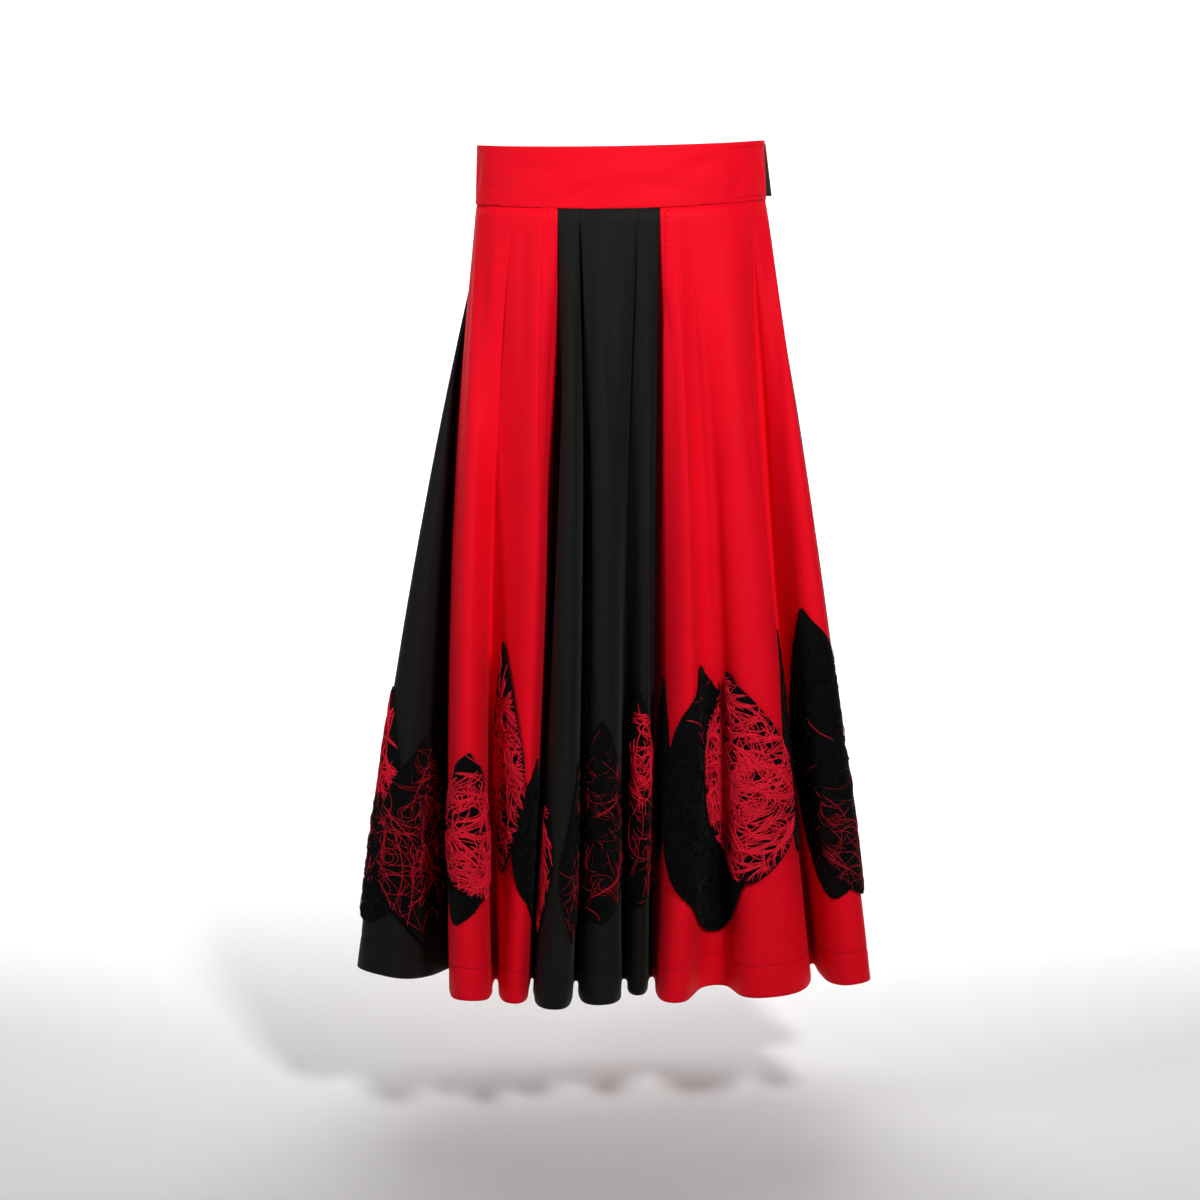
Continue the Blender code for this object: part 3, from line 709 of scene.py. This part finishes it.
def woven_tape(name, colour):
    """Ribbed weave of the strip past the band's end, on a dark colour that is painted shade"""
    finish = Finish(name, 0.85, 0.2, 0.1, 0.5, (0.6, 0.4, 0.4))
    down = finish.add("ShaderNodeSeparateXYZ", {}, {"Vector": finish.cut_place()}, "Y")
    ribs = (down * (2 * math.pi / 0.0016)).sine()
    loops = finish.noise(finish.object_place(), 1500.0, 2.0, 0.7)
    finish.set("Base Color", finish.mix(loops, shade(colour, 0.5), shade(colour, 1.8)))
    finish.bump(ribs * 0.4 + loops, 0.0004, 0.8)
    return finish.material


def make_finish(kind, name):
    """A new material of one kind"""
    colour = colours()
    if kind == "red_cloth":
        return twill(name, colour.red_cloth, 0.10, (1.0, 0.10, 0.14))
    if kind == "black_cloth":
        return twill(name, colour.black_cloth, 0.05, (0.75, 0.80, 0.76))
    if kind == "black_felt":
        return felt(name, colour.black_felt)
    if kind == "red_lace":
        return spun_thread(name, colour.dull_thread, colour.bright_thread, 0.12)
    if kind == "red_sewing":
        return spun_thread(name, shade(colour.dull_thread, 0.6), shade(colour.dull_thread, 2.6), 0.05)
    if kind == "black_thread":
        return spun_thread(name, shade(colour.black_felt, 0.6), shade(colour.black_felt, 3.0), 0.12)
    if kind == "closure_tape":
        # The strip's dark colour is painted shade, the shadow on the band's flared end
        return woven_tape(name, colour.tape)
    raise RuntimeError(f"no finish is known for {kind}")


def finish_of(kind):
    """The material of one kind, made once and kept apart from the plain materials of the solids"""
    name = kind + "_finish"
    return bpy.data.materials.get(name) or make_finish(kind, name)


def finished(name, mesh, finish):
    """A piece in place, riding on the skirt's one body, with its finish"""
    piece = bpy.data.objects.new(name, mesh)
    bpy.context.scene.collection.objects.link(piece)
    mesh.materials.append(finish_of(finish))
    mesh.shade_smooth()
    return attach(piece, BODY)


def apply_modifiers(piece):
    """Apply a piece's modifiers in order"""
    bpy.ops.object.select_all(action="DESELECT")
    piece.select_set(True)
    bpy.context.view_layer.objects.active = piece
    for modifier in list(piece.modifiers):
        bpy.ops.object.modifier_apply(modifier=modifier.name)


def sheet_mesh(name, points, cut):
    """A sheet of quads from rows and columns of points, with its flat cut as the UV map"""
    rows, columns = points.shape[:2]
    corner = np.arange(rows * columns).reshape(rows, columns)
    ring = [corner[:-1, :-1], corner[1:, :-1], corner[1:, 1:], corner[:-1, 1:]]
    quads = np.stack(ring, axis=-1).reshape(-1, 4)
    mesh = bpy.data.meshes.new(name)
    mesh.from_pydata(points.reshape(-1, 3).tolist(), [], quads.tolist())
    layer = mesh.uv_layers.new(name="cut")
    layer.uv.foreach_set("vector", cut.reshape(-1, 2)[quads.ravel()].astype(np.float32).ravel())
    return mesh


def thicken(piece, thickness, group=None, thin=1.0):
    """Give a sheet its thickness, inward, and less of it outside a vertex group"""
    solidify = piece.modifiers.new("cloth", "SOLIDIFY")
    solidify.thickness = thickness
    solidify.offset = -1
    if group is not None:
        solidify.vertex_group = group
        solidify.thickness_vertex_group = thin


def row_lengths(points):
    """How far along its row each point of a sheet lies, from the row's middle"""
    steps = np.linalg.norm(np.diff(points, axis=1), axis=2)
    reach = np.concatenate([np.zeros((len(points), 1)), np.cumsum(steps, axis=1)], axis=1)
    return reach - reach[:, -1:] / 2


def gore_shares():
    """Shares of the length for a gore's rows, closer together at the hem's stitches, and the share there"""
    size = sizes()
    stitched = 1 - size.hem_turn / size.length
    near = np.array([-0.0035, -0.0015, 0.0, 0.0015, 0.0035]) / size.length
    body = np.linspace(0, stitched - 0.007 / size.length, BODY_ROWS)
    lower = np.linspace(stitched + 0.008 / size.length, 1, HEM_ROWS)
    return np.concatenate([body, stitched + near, lower]), stitched


def make_gore(drape, gore):
    """One gore as a creased sheet with a thicker turned hem"""
    size = sizes()
    share, stitched = gore_shares()
    columns = (gore.last - gore.first) * COLUMNS_PER_FOLD + 1
    across = np.tile(np.linspace(gore.first, gore.last, columns), (len(share), 1))
    shares = np.repeat(share[:, None], columns, axis=1)
    points, _ = drape.cloth(across, shares)
    beside = row_lengths(points)
    cut = np.stack([beside, shares * size.length], axis=-1)
    mesh = sheet_mesh(gore.name + "_cloth", points, cut)
    piece = finished(gore.name + "_cloth", mesh, gore.cloth)
    hem = piece.vertex_groups.new(name="turned hem")
    first = int((share < stitched - 1e-6).sum()) * columns
    hem.add(list(range(first, len(share) * columns)), 1.0, "REPLACE")
    thicken(piece, size.hem_cloth, hem.name, size.cloth / size.hem_cloth)
    apply_modifiers(piece)
    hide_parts(gore.name)


def band_point(degrees, height):
    """The waistband's outer face: height is a share of it from the lower edge"""
    size = sizes()
    lap_depth = size.band_cloth + LAP_SPACE
    inward = 1 - eased((degrees - LAP_LEAVES_DEG) / (LAP_JOINS_DEG - LAP_LEAVES_DEG))
    # The lap's end lies flat on the layers below it, and only the visible turn is creased
    lift = np.zeros(np.shape(degrees))
    pace = math.radians(1) * (size.waist_half_width + size.waist_half_depth) / 2
    for crease in BAND_CREASES:
        beside = (degrees - crease.degrees) * pace
        above = (height - crease.height) * size.band_height
        turn = math.radians(crease.turn)
        along = beside * math.cos(turn) + above * math.sin(turn)
        off = above * math.cos(turn) - beside * math.sin(turn)
        lift -= crease.depth * np.exp(-((along / crease.length) ** 2) - (off / crease.width) ** 2)
    waver = 0.0003 * np.sin(degrees / 5.3) + 0.00024 * np.sin(degrees / 2.1 + 1.0)
    plan = on_oval(degrees, BAND_PROUD - lap_depth * inward - BAND_FLARE * height + lift * (1 - inward))
    rise = waist_height(plan) + size.band_height * (height - 0.5) + waver * (1 - height) ** 3
    return np.concatenate([plan, rise[..., None]], axis=-1)


def make_waistband():
    """The waistband as one doubled strip with rounded edges, whose start lies under its end"""
    size = sizes()
    degrees, height = np.meshgrid(
        np.linspace(LAP_START_DEG, LAP_END_DEG, BAND_COLUMNS + 1), np.linspace(1, 0, BAND_ROWS + 1)
    )
    points = band_point(degrees, height)
    cut = np.stack([row_lengths(points), height * size.band_height], axis=-1)
    band = finished("waistband_cloth", sheet_mesh("waistband_cloth", points, cut), "red_cloth")
    thicken(band, size.band_cloth)
    edge = band.modifiers.new("pressed edges", "BEVEL")
    edge.width = BAND_EDGE
    edge.segments = 3
    edge.limit_method = "ANGLE"
    edge.angle_limit = math.radians(60)
    apply_modifiers(band)
    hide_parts("waistband")


def make_closure_tape():
    """The strip between the band's layers, standing out a little past the band's end. Its dark colour is
    painted shade: the shadow on the band's flared end there.
    """
    size = sizes()
    under_band = BAND_PROUD - size.band_cloth - (LAP_SPACE - TAPE_THICK) / 2
    degrees, below = np.meshgrid(
        np.linspace(TAPE_START_DEG, TAPE_END_DEG, TAPE_COLUMNS + 1), np.linspace(0, 1, TAPE_ROWS + 1)
    )
    leaving = eased((degrees - TAPE_LEAVES_DEG) / (TAPE_END_DEG - TAPE_LEAVES_DEG))
    flare = TAPE_FLARE_TOP + (TAPE_FLARE_BOTTOM - TAPE_FLARE_TOP) * below
    taper = -BAND_FLARE * (1 - below)
    plan = on_oval(degrees, under_band + taper + (flare - under_band) * leaving)
    rise = waist_height(plan) + TAPE_HEIGHT * (0.5 - below)
    points = np.concatenate([plan, rise[..., None]], axis=-1)
    cut = np.stack([row_lengths(points), below * TAPE_HEIGHT], axis=-1)
    mesh = sheet_mesh("closure_tape_cloth", points, cut)
    tape = finished("closure_tape_cloth", mesh, "closure_tape")
    thicken(tape, TAPE_THICK)
    apply_modifiers(tape)
    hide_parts("closure_tape")


def ragged(dice, count):
    """A raw edge's ins and outs: slow waves with short nicks on them"""
    places = np.arange(0, count + 6, 6)
    slow = np.interp(np.arange(count), places, [dice.uniform(-1, 1) for _ in places])
    return RAW_EDGE * (0.7 * slow + np.array([dice.uniform(-0.6, 0.6) for _ in range(count)]))


def make_felt(drape, leaf):
    """One raw-edged felt leaf, following the folds below it"""
    size = sizes()
    bed = Bed(drape, leaf)
    dice = Random(leaf.name)
    share = np.linspace(0.006, 0.994, LEAF_ROWS + 1)
    span = np.linspace(-1, 1, LEAF_COLUMNS + 1)
    half = bed.half_width(share)
    left = half + ragged(dice, LEAF_ROWS + 1)
    right = half + ragged(dice, LEAF_ROWS + 1)
    wide = np.where(span < 0, left[:, None], right[:, None])
    sideways = bed.middle(share)[:, None] + span * np.maximum(wide, 0.0008)
    down = np.repeat(share[:, None] * leaf.length, LEAF_COLUMNS + 1, axis=1)
    places = zip((sideways * LUMPS_PER_METRE).flat, (down * LUMPS_PER_METRE).flat)
    lumps = np.array([noise.noise(Vector((x, y, leaf.at))) for x, y in places]).reshape(down.shape)
    border = 1 - np.abs(span) ** 6
    lift = bed.top_face() + LUMP_HEIGHT * (lumps + 0.4) * border
    points, _ = bed.points(sideways, down, lift)
    cut = np.stack([sideways, down], axis=-1)
    piece = finished(leaf.name + "_patch", sheet_mesh(leaf.name + "_patch", points, cut), "black_felt")
    thicken(piece, size.felt)
    apply_modifiers(piece)
    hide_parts(leaf.name)
    area = float((left + right).mean()) * leaf.length
    min(area, leaf.width * leaf.length)


def wander(dice, spot, heading, bend, length, step):
    """A strand's path on the flat leaf, whose bend drifts as it goes"""
    x, y = spot
    path = [(x, y)]
    for _ in range(max(int(length / step), 2)):
        bend += dice.uniform(-0.25, 0.25) * abs(bend)
        heading += bend * step
        x += math.cos(heading) * step
        y += math.sin(heading) * step
        path.append((x, y))
    return path


def kept_inside(bed, path):
    """The longest stretch of a path that stays on the leaf"""
    best, kept = [], []
    for x, y in path:
        share = y / bed.leaf.length
        if 0.01 < share < 0.99 and abs(x - bed.middle(share)) < bed.half_width(share) + 0.0008:
            kept.append((x, y))
        else:
            kept = []
        if len(kept) > len(best):
            best = list(kept)
    return best


Strand = namedtuple("Strand", "path radius tone")


def tangle_strands(bed, cover, dice):
    """Bundles of strands that wander over a stretch of a leaf, started on a loosened grid"""
    leaf, tangle = bed.leaf, TANGLES[cover.tangle]
    strands = []
    rows = max(round((cover.last - cover.first) * leaf.length / tangle.spacing), 1)
    columns = math.ceil(leaf.width / tangle.spacing)
    for row in range(rows):
        for column in range(-columns // 2, columns // 2 + 1):
            share = cover.first + (cover.last - cover.first) * (row + dice.random()) / rows
            side = (column + dice.random() - 0.5 * (row % 2)) * tangle.spacing
            if abs(side) > bed.half_width(share):
                continue
            turn = dice.choice((0, math.pi)) + math.radians(cover.heading) + dice.gauss(0, tangle.level)
            bend = dice.uniform(-1, 1) * tangle.bend
            tone = dice.uniform(tangle.dull, tangle.bright)
            for _ in range(tangle.strands):
                fan = dice.uniform(-1, 1)
                length = dice.uniform(tangle.shortest, tangle.longest)
                heading = turn + fan * tangle.spread
                back = length * dice.uniform(0.2, 0.6)
                x = bed.middle(share) + side - math.cos(heading) * back - math.sin(turn) * fan * 0.003
                y = share * leaf.length - math.sin(heading) * back + math.cos(turn) * fan * 0.003
                path = wander(dice, (x, y), heading, bend * dice.uniform(0.5, 1.4), length, tangle.step)
                path = kept_inside(bed, path)
                if len(path) > 2:
                    shine = min(max(tone + dice.uniform(-0.15, 0.15), 0.0), 1.0)
                    strands.append(Strand(path, tangle.radius * dice.uniform(0.75, 1.3), shine))
    return strands


def edge_hairs(bed, dice, count):
    """Loose fibres that stick out of the raw edge"""
    hairs = []
    for _ in range(count):
        share = dice.uniform(0.01, 0.99)
        side = dice.choice((-1, 1))
        start = (bed.middle(share) + side * (float(bed.half_width(share)) - 0.001), share * bed.leaf.length)
        heading = (0.0 if side > 0 else math.pi) + dice.uniform(-1.1, 1.1)
        length = dice.uniform(0.002, 0.006)
        path = wander(dice, start, heading, dice.uniform(-200, 200), length, 0.0014)
        hairs.append(Strand(path, dice.uniform(0.00014, 0.00026), dice.uniform(0.2, 0.9)))
    return hairs


def toned_mesh(name, corners, faces, tones):
    """A mesh of thread with a tone at every corner"""
    mesh = bpy.data.meshes.new(name)
    mesh.from_pydata(np.concatenate(corners).tolist(), [], faces)
    tone = mesh.attributes.new("tone", "FLOAT", "POINT")
    tone.data.foreach_set("value", np.concatenate(tones))
    return mesh


def tube_mesh(name, bundles, sides):
    """Thin closed tubes along many paths, in one mesh that keeps each strand's tone. A bundle holds the
    strands of one leaf with its bed, and every strand bows a little off the felt."""
    corners, faces, tones = [], [], []
    total = 0
    angle = np.arange(sides) * (2 * math.pi / sides)
    for bed, strands, dice in bundles:
        if not strands:
            continue
        flat = np.concatenate([np.array(strand.path) for strand in strands])
        lifts = []
        for strand in strands:
            rise = dice.uniform(0.0, 0.0011)
            lifts.append(strand.radius * 0.7 + rise * np.sin(np.linspace(0, math.pi, len(strand.path))))
        points, outward = bed.points(flat[:, 0], flat[:, 1], bed.top_face() + np.concatenate(lifts))
        start = 0
        for strand in strands:
            count = len(strand.path)
            line, out = points[start : start + count], outward[start : start + count]
            start += count
            along = unit(np.gradient(line, axis=0))
            beside = unit(np.cross(along, out))
            above = np.cross(beside, along)
            radius = strand.radius * np.where(np.isin(np.arange(count), (0, count - 1)), 0.55, 1.0)
            round_it = np.cos(angle)[:, None] * beside[:, None] + np.sin(angle)[:, None] * above[:, None]
            corners.append((line[:, None] + radius[:, None, None] * round_it).reshape(-1, 3))
            ring = total + np.arange(count * sides).reshape(count, sides)
            onward = np.roll(ring, -1, axis=1)
            walls = np.stack([ring[:-1], onward[:-1], onward[1:], ring[1:]], axis=-1)
            faces.extend(walls.reshape(-1, 4).tolist())
            faces.append(ring[0, ::-1].tolist())
            faces.append(ring[-1].tolist())
            tones.append(np.full(count * sides, strand.tone, np.float32))
            total += count * sides
    return toned_mesh(name, corners, faces, tones)


def make_threads(drape):
    """The tangled threads: red leaf by leaf, and the felt's matted thread and loose hairs together"""
    matted, hairs = [], []
    for leaf in LEAVES:
        bed = Bed(drape, leaf)
        dice = Random(leaf.name + " thread")
        strands = []
        for cover in COVERS:
            if cover.leaf == leaf.name:
                strands += tangle_strands(bed, cover, dice)
        if strands:
            name = leaf.name + "_threads"
            finished(name, tube_mesh(name, [(bed, strands, dice)], 4), "red_lace")
        if "lace" not in leaf.name:
            whole = Cover(leaf.name, "matted", 0.03, 0.98, 90)
            matted.append((bed, tangle_strands(bed, whole, dice), dice))
        hairs.append((bed, edge_hairs(bed, dice, round(HAIRS_PER_METRE * leaf.length)), dice))
    finished("matted_threads", tube_mesh("matted_threads", matted, 3), "black_thread")
    finished("edge_hairs", tube_mesh("edge_hairs", hairs, 3), "black_thread")


def make_stitches(name, rows, finish):
    """Short rounded stitches along rows of points, each row with its ways out of the cloth"""
    # A stitch's corners: how far along it, how far beside it and how far out of the cloth
    shape = np.array(
        [(0, 0, -0.8), (0.2, 1, 0), (0.2, 0, 1), (0.2, -1, 0), (0.2, 0, -1)]
        + [(0.8, 1, 0), (0.8, 0, 1), (0.8, -1, 0), (0.8, 0, -1), (1, 0, -0.8)]
    )
    walls = [(1 + side, 1 + (side + 1) % 4, 5 + (side + 1) % 4, 5 + side) for side in range(4)]
    walls += [(0, 1 + (side + 1) % 4, 1 + side) for side in range(4)]
    walls += [(9, 5 + side, 5 + (side + 1) % 4) for side in range(4)]
    corners, faces = [], []
    pitch = sizes().stitch
    total = 0
    for points, outward in rows:
        reach = run_lengths(points)
        starts = np.arange(pitch / 2, reach[-1] - STITCH_LENGTH, pitch)

        def at(distance, values):
            return np.stack([np.interp(distance, reach, values[:, axis]) for axis in range(3)], axis=-1)

        first, last = at(starts, points), at(starts + STITCH_LENGTH, points)
        out = unit(at(starts + STITCH_LENGTH / 2, outward))
        beside = unit(np.cross(last - first, out))
        stitch = first[:, None] + shape[:, 0, None] * (last - first)[:, None]
        round_it = shape[:, 1, None] * beside[:, None] + shape[:, 2, None] * out[:, None]
        stitch = stitch + STITCH_RADIUS * round_it
        corners.append(stitch.reshape(-1, 3))
        for number in range(len(starts)):
            faces += [tuple(total + number * len(shape) + corner for corner in wall) for wall in walls]
        total += len(starts) * len(shape)
    mesh = toned_mesh(name, corners, faces, [np.full(total, STITCH_TONE, np.float32)])
    finished(name, mesh, finish)


def band_rows():
    """Rows of stitches in a box on the waistband's lap"""
    rows = []
    for (from_deg, from_height), (to_deg, to_height) in zip(LAP_BOX, LAP_BOX[1:]):
        part = np.linspace(0, 1, 60)
        degrees = from_deg + (to_deg - from_deg) * part
        height = from_height + (to_height - from_height) * part
        points = band_point(degrees, height)
        beside = band_point(degrees + 0.3, height) - points
        above = band_point(degrees, height + 0.01) - points
        outward = unit(np.cross(beside, above))
        rows.append((points + outward * STITCH_LIFT, outward))
    return rows


def make_sewing(drape):
    """The hem's stitches, the row beside the front seam and the stitches on the lap"""
    size = sizes()
    hem = 1 - size.hem_turn / size.length
    for gore in GORES:
        across = np.linspace(gore.first + 0.01, gore.last - 0.01, (gore.last - gore.first) * 60)
        row = drape.cloth(across, hem, STITCH_LIFT)
        finish = "red_sewing" if gore.cloth == "red_cloth" else "black_thread"
        make_stitches(gore.name + "_hem_stitches", [row], finish)
    share = np.linspace(PLACKET_TOP, PLACKET_BOTTOM, 90)
    rows = [drape.cloth(drape.beside(PLACKET_SEAM, PLACKET_WIDTH, share), share, STITCH_LIFT)]
    # Short stitches across the placket's edge, one by one down its length
    for level in np.arange(PLACKET_TOP, PLACKET_BOTTOM, PLACKET_TICK / size.length):
        ends = [drape.beside(PLACKET_SEAM, PLACKET_WIDTH + away, [level])[0] for away in PLACKET_REACH]
        rows.append(drape.cloth(np.linspace(ends[0], ends[1], 8), np.full(8, level), STITCH_LIFT))
    make_stitches("placket_stitches", rows, "red_sewing")
    make_stitches("lap_stitches", band_rows(), "red_sewing")


class SKIRT_OT_gores(bpy.types.Operator):
    """Make the six flared gores in red and black twill"""

    bl_idname = "skirt.gores"
    bl_label = "Gores"

    def execute(self, context):
        drape = Drape()
        for gore in GORES:
            make_gore(drape, gore)
        return {"FINISHED"}


class SKIRT_OT_waistband(bpy.types.Operator):
    """Make the lapped waistband and the strip inside it, whose dark colour is painted shade"""

    bl_idname = "skirt.waistband"
    bl_label = "Waistband"

    def execute(self, context):
        make_waistband()
        make_closure_tape()
        return {"FINISHED"}


class SKIRT_OT_leaves(bpy.types.Operator):
    """Make the raw-edged felt leaves"""

    bl_idname = "skirt.leaves"
    bl_label = "Felt Leaves"

    def execute(self, context):
        drape = Drape()
        for leaf in LEAVES:
            make_felt(drape, leaf)
        return {"FINISHED"}


class SKIRT_OT_threads(bpy.types.Operator):
    """Tangle thread over the leaves"""

    bl_idname = "skirt.threads"
    bl_label = "Tangled Thread"

    def execute(self, context):
        make_threads(Drape())
        return {"FINISHED"}


class SKIRT_OT_sewing(bpy.types.Operator):
    """Sew the hem, the front seam's placket and the lap"""

    bl_idname = "skirt.sewing"
    bl_label = "Sewing"

    def execute(self, context):
        make_sewing(Drape())
        return {"FINISHED"}


class SKIRT_OT_studio(bpy.types.Operator):
    """Set up the pale floor, the soft lights and the camera"""

    bl_idname = "skirt.studio"
    bl_label = "Studio"

    def execute(self, context):
        make_backdrop()
        make_lights(context.scene)
        make_camera(context.scene)
        return {"FINISHED"}


# The floor below the hem, the backdrop that sweeps up behind it, and the camera
FLOOR_BELOW = 0.16
STAGE_WIDTH = 9.0
STAGE_FRONT = -4.2
STAGE_BACK = 2.6
STAGE_TOP = 4.0
SWEEP = 1.4
CAMERA_PLACE = (-0.0217, -2.6, -0.0045)
CAMERA_DOWN_DEG = 9.7
LENS_MM = 74.3
WORLD_LIGHT = 0.02
PAPER_TONE = 0.92

Lamp = namedtuple("Lamp", "name place target size power spread_deg")
LAMPS = [Lamp(*row) for row in (
    ("key_light", (0.95, -2.30, 1.25), (0.0, 0.0, 0.12), 0.35, 12.6, 75),
    ("fill_light", (-2.2, -1.3, 0.9), (-0.1, 0.0, 0.30), 0.8, 4.2, 60),
    ("floor_light", (0.0, 1.5, 1.6), (0.0, 0.4, -1.1), 2.4, 40.0, 180),
    ("backdrop_light_left", (-1.6, 0.9, 0.6), (-1.0, 2.6, 0.2), 1.6, 34.0, 180),
    ("backdrop_light_right", (1.6, 0.9, 0.6), (1.0, 2.6, 0.2), 1.6, 34.0, 180),
)]


def make_backdrop():
    """A pale floor that sweeps up into a backdrop"""
    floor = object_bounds()[0][2] - FLOOR_BELOW
    bpy.ops.object.select_all(action="DESELECT")
    bpy.ops.mesh.primitive_plane_add(size=1.0, location=(0, (STAGE_FRONT + STAGE_BACK) / 2, floor))
    sweep = bpy.context.object
    sweep.name = "studio_floor"
    sweep.scale = (STAGE_WIDTH, STAGE_BACK - STAGE_FRONT, 1.0)
    bpy.ops.object.transform_apply(location=False, rotation=False, scale=True)
    bpy.ops.object.mode_set(mode="EDIT")
    bpy.ops.mesh.select_mode(type="EDGE")
    bpy.ops.mesh.select_all(action="DESELECT")
    bpy.ops.object.mode_set(mode="OBJECT")
    middle = (STAGE_BACK - STAGE_FRONT) / 2
    for edge in sweep.data.edges:
        edge.select = all(sweep.data.vertices[end].co.y > middle - 0.01 for end in edge.vertices)
    bpy.ops.object.mode_set(mode="EDIT")
    bpy.ops.mesh.extrude_region_move(TRANSFORM_OT_translate={"value": (0, 0, STAGE_TOP)})
    bpy.ops.object.mode_set(mode="OBJECT")
    bend = sweep.modifiers.new("sweep", "BEVEL")
    bend.width = SWEEP
    bend.segments = 24
    bend.limit_method = "ANGLE"
    apply_modifiers(sweep)
    sweep.data.shade_smooth()
    paper = Finish("studio_paper", 0.9, 0.1)
    paper.set("Base Color", (PAPER_TONE, PAPER_TONE, PAPER_TONE, 1.0))
    sweep.data.materials.append(paper.material)
    sweep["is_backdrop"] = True


def make_lights(scene):
    """Soft lights, and a little light from all round"""
    for lamp in LAMPS:
        light = bpy.data.lights.new(lamp.name, "AREA")
        light.energy = lamp.power
        light.size = lamp.size
        light.spread = math.radians(lamp.spread_deg)
        shown = bpy.data.objects.new(lamp.name, light)
        shown.location = lamp.place
        way = Vector(lamp.target) - Vector(lamp.place)
        shown.rotation_euler = way.to_track_quat("-Z", "Y").to_euler()
        shown.visible_camera = False
        scene.collection.objects.link(shown)
    world = bpy.data.worlds.new("studio")
    world.use_nodes = True
    background = world.node_tree.nodes["Background"]
    background.inputs["Color"].default_value = (1.0, 1.0, 1.0, 1.0)
    background.inputs["Strength"].default_value = WORLD_LIGHT
    scene.world = world


def make_camera(scene):
    """The camera at the photo's angle"""
    camera = bpy.data.cameras.new("camera")
    camera.lens = LENS_MM
    camera.sensor_width = 36.0
    viewer = bpy.data.objects.new("camera", camera)
    viewer.location = CAMERA_PLACE
    viewer.rotation_euler = (math.radians(90 - CAMERA_DOWN_DEG), 0, 0)
    scene.collection.objects.link(viewer)
    scene.camera = viewer
    scene.view_settings.view_transform = "Standard"


class SKIRT_PT_panel(bpy.types.Panel):
    bl_label = "Circle Skirt"
    bl_idname = "SKIRT_PT_panel"
    bl_space_type = "VIEW_3D"
    bl_region_type = "UI"
    bl_category = "Skirt"

    def draw(self, context):
        for group in (context.scene.skirt_sizes, context.scene.skirt_colours):
            box = self.layout.box()
            for name in group.__annotations__:
                box.prop(group, name)
        for operator in OPERATORS:
            self.layout.operator(operator.bl_idname)


GROUPS = (SkirtSizes, SkirtColours)
OPERATORS = (
    SKIRT_OT_gores,
    SKIRT_OT_waistband,
    SKIRT_OT_leaves,
    SKIRT_OT_threads,
    SKIRT_OT_sewing,
    SKIRT_OT_studio,
)


def register():
    for cls in (*GROUPS, *OPERATORS, SKIRT_PT_panel):
        bpy.utils.register_class(cls)
    bpy.types.Scene.skirt_sizes = bpy.props.PointerProperty(type=SkirtSizes)
    bpy.types.Scene.skirt_colours = bpy.props.PointerProperty(type=SkirtColours)


def unregister():
    del bpy.types.Scene.skirt_sizes
    del bpy.types.Scene.skirt_colours
    for cls in reversed((*GROUPS, *OPERATORS, SKIRT_PT_panel)):
        bpy.utils.unregister_class(cls)


def corners(bounds):
    return [[float(value) for value in corner] for corner in bounds]


def main():
    register()
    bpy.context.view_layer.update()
    bpy.ops.skirt.gores()
    bpy.ops.skirt.waistband()
    bpy.ops.skirt.leaves()
    bpy.ops.skirt.threads()
    bpy.ops.skirt.sewing()
    bpy.ops.skirt.studio()


if __name__ == "__main__":
    main()
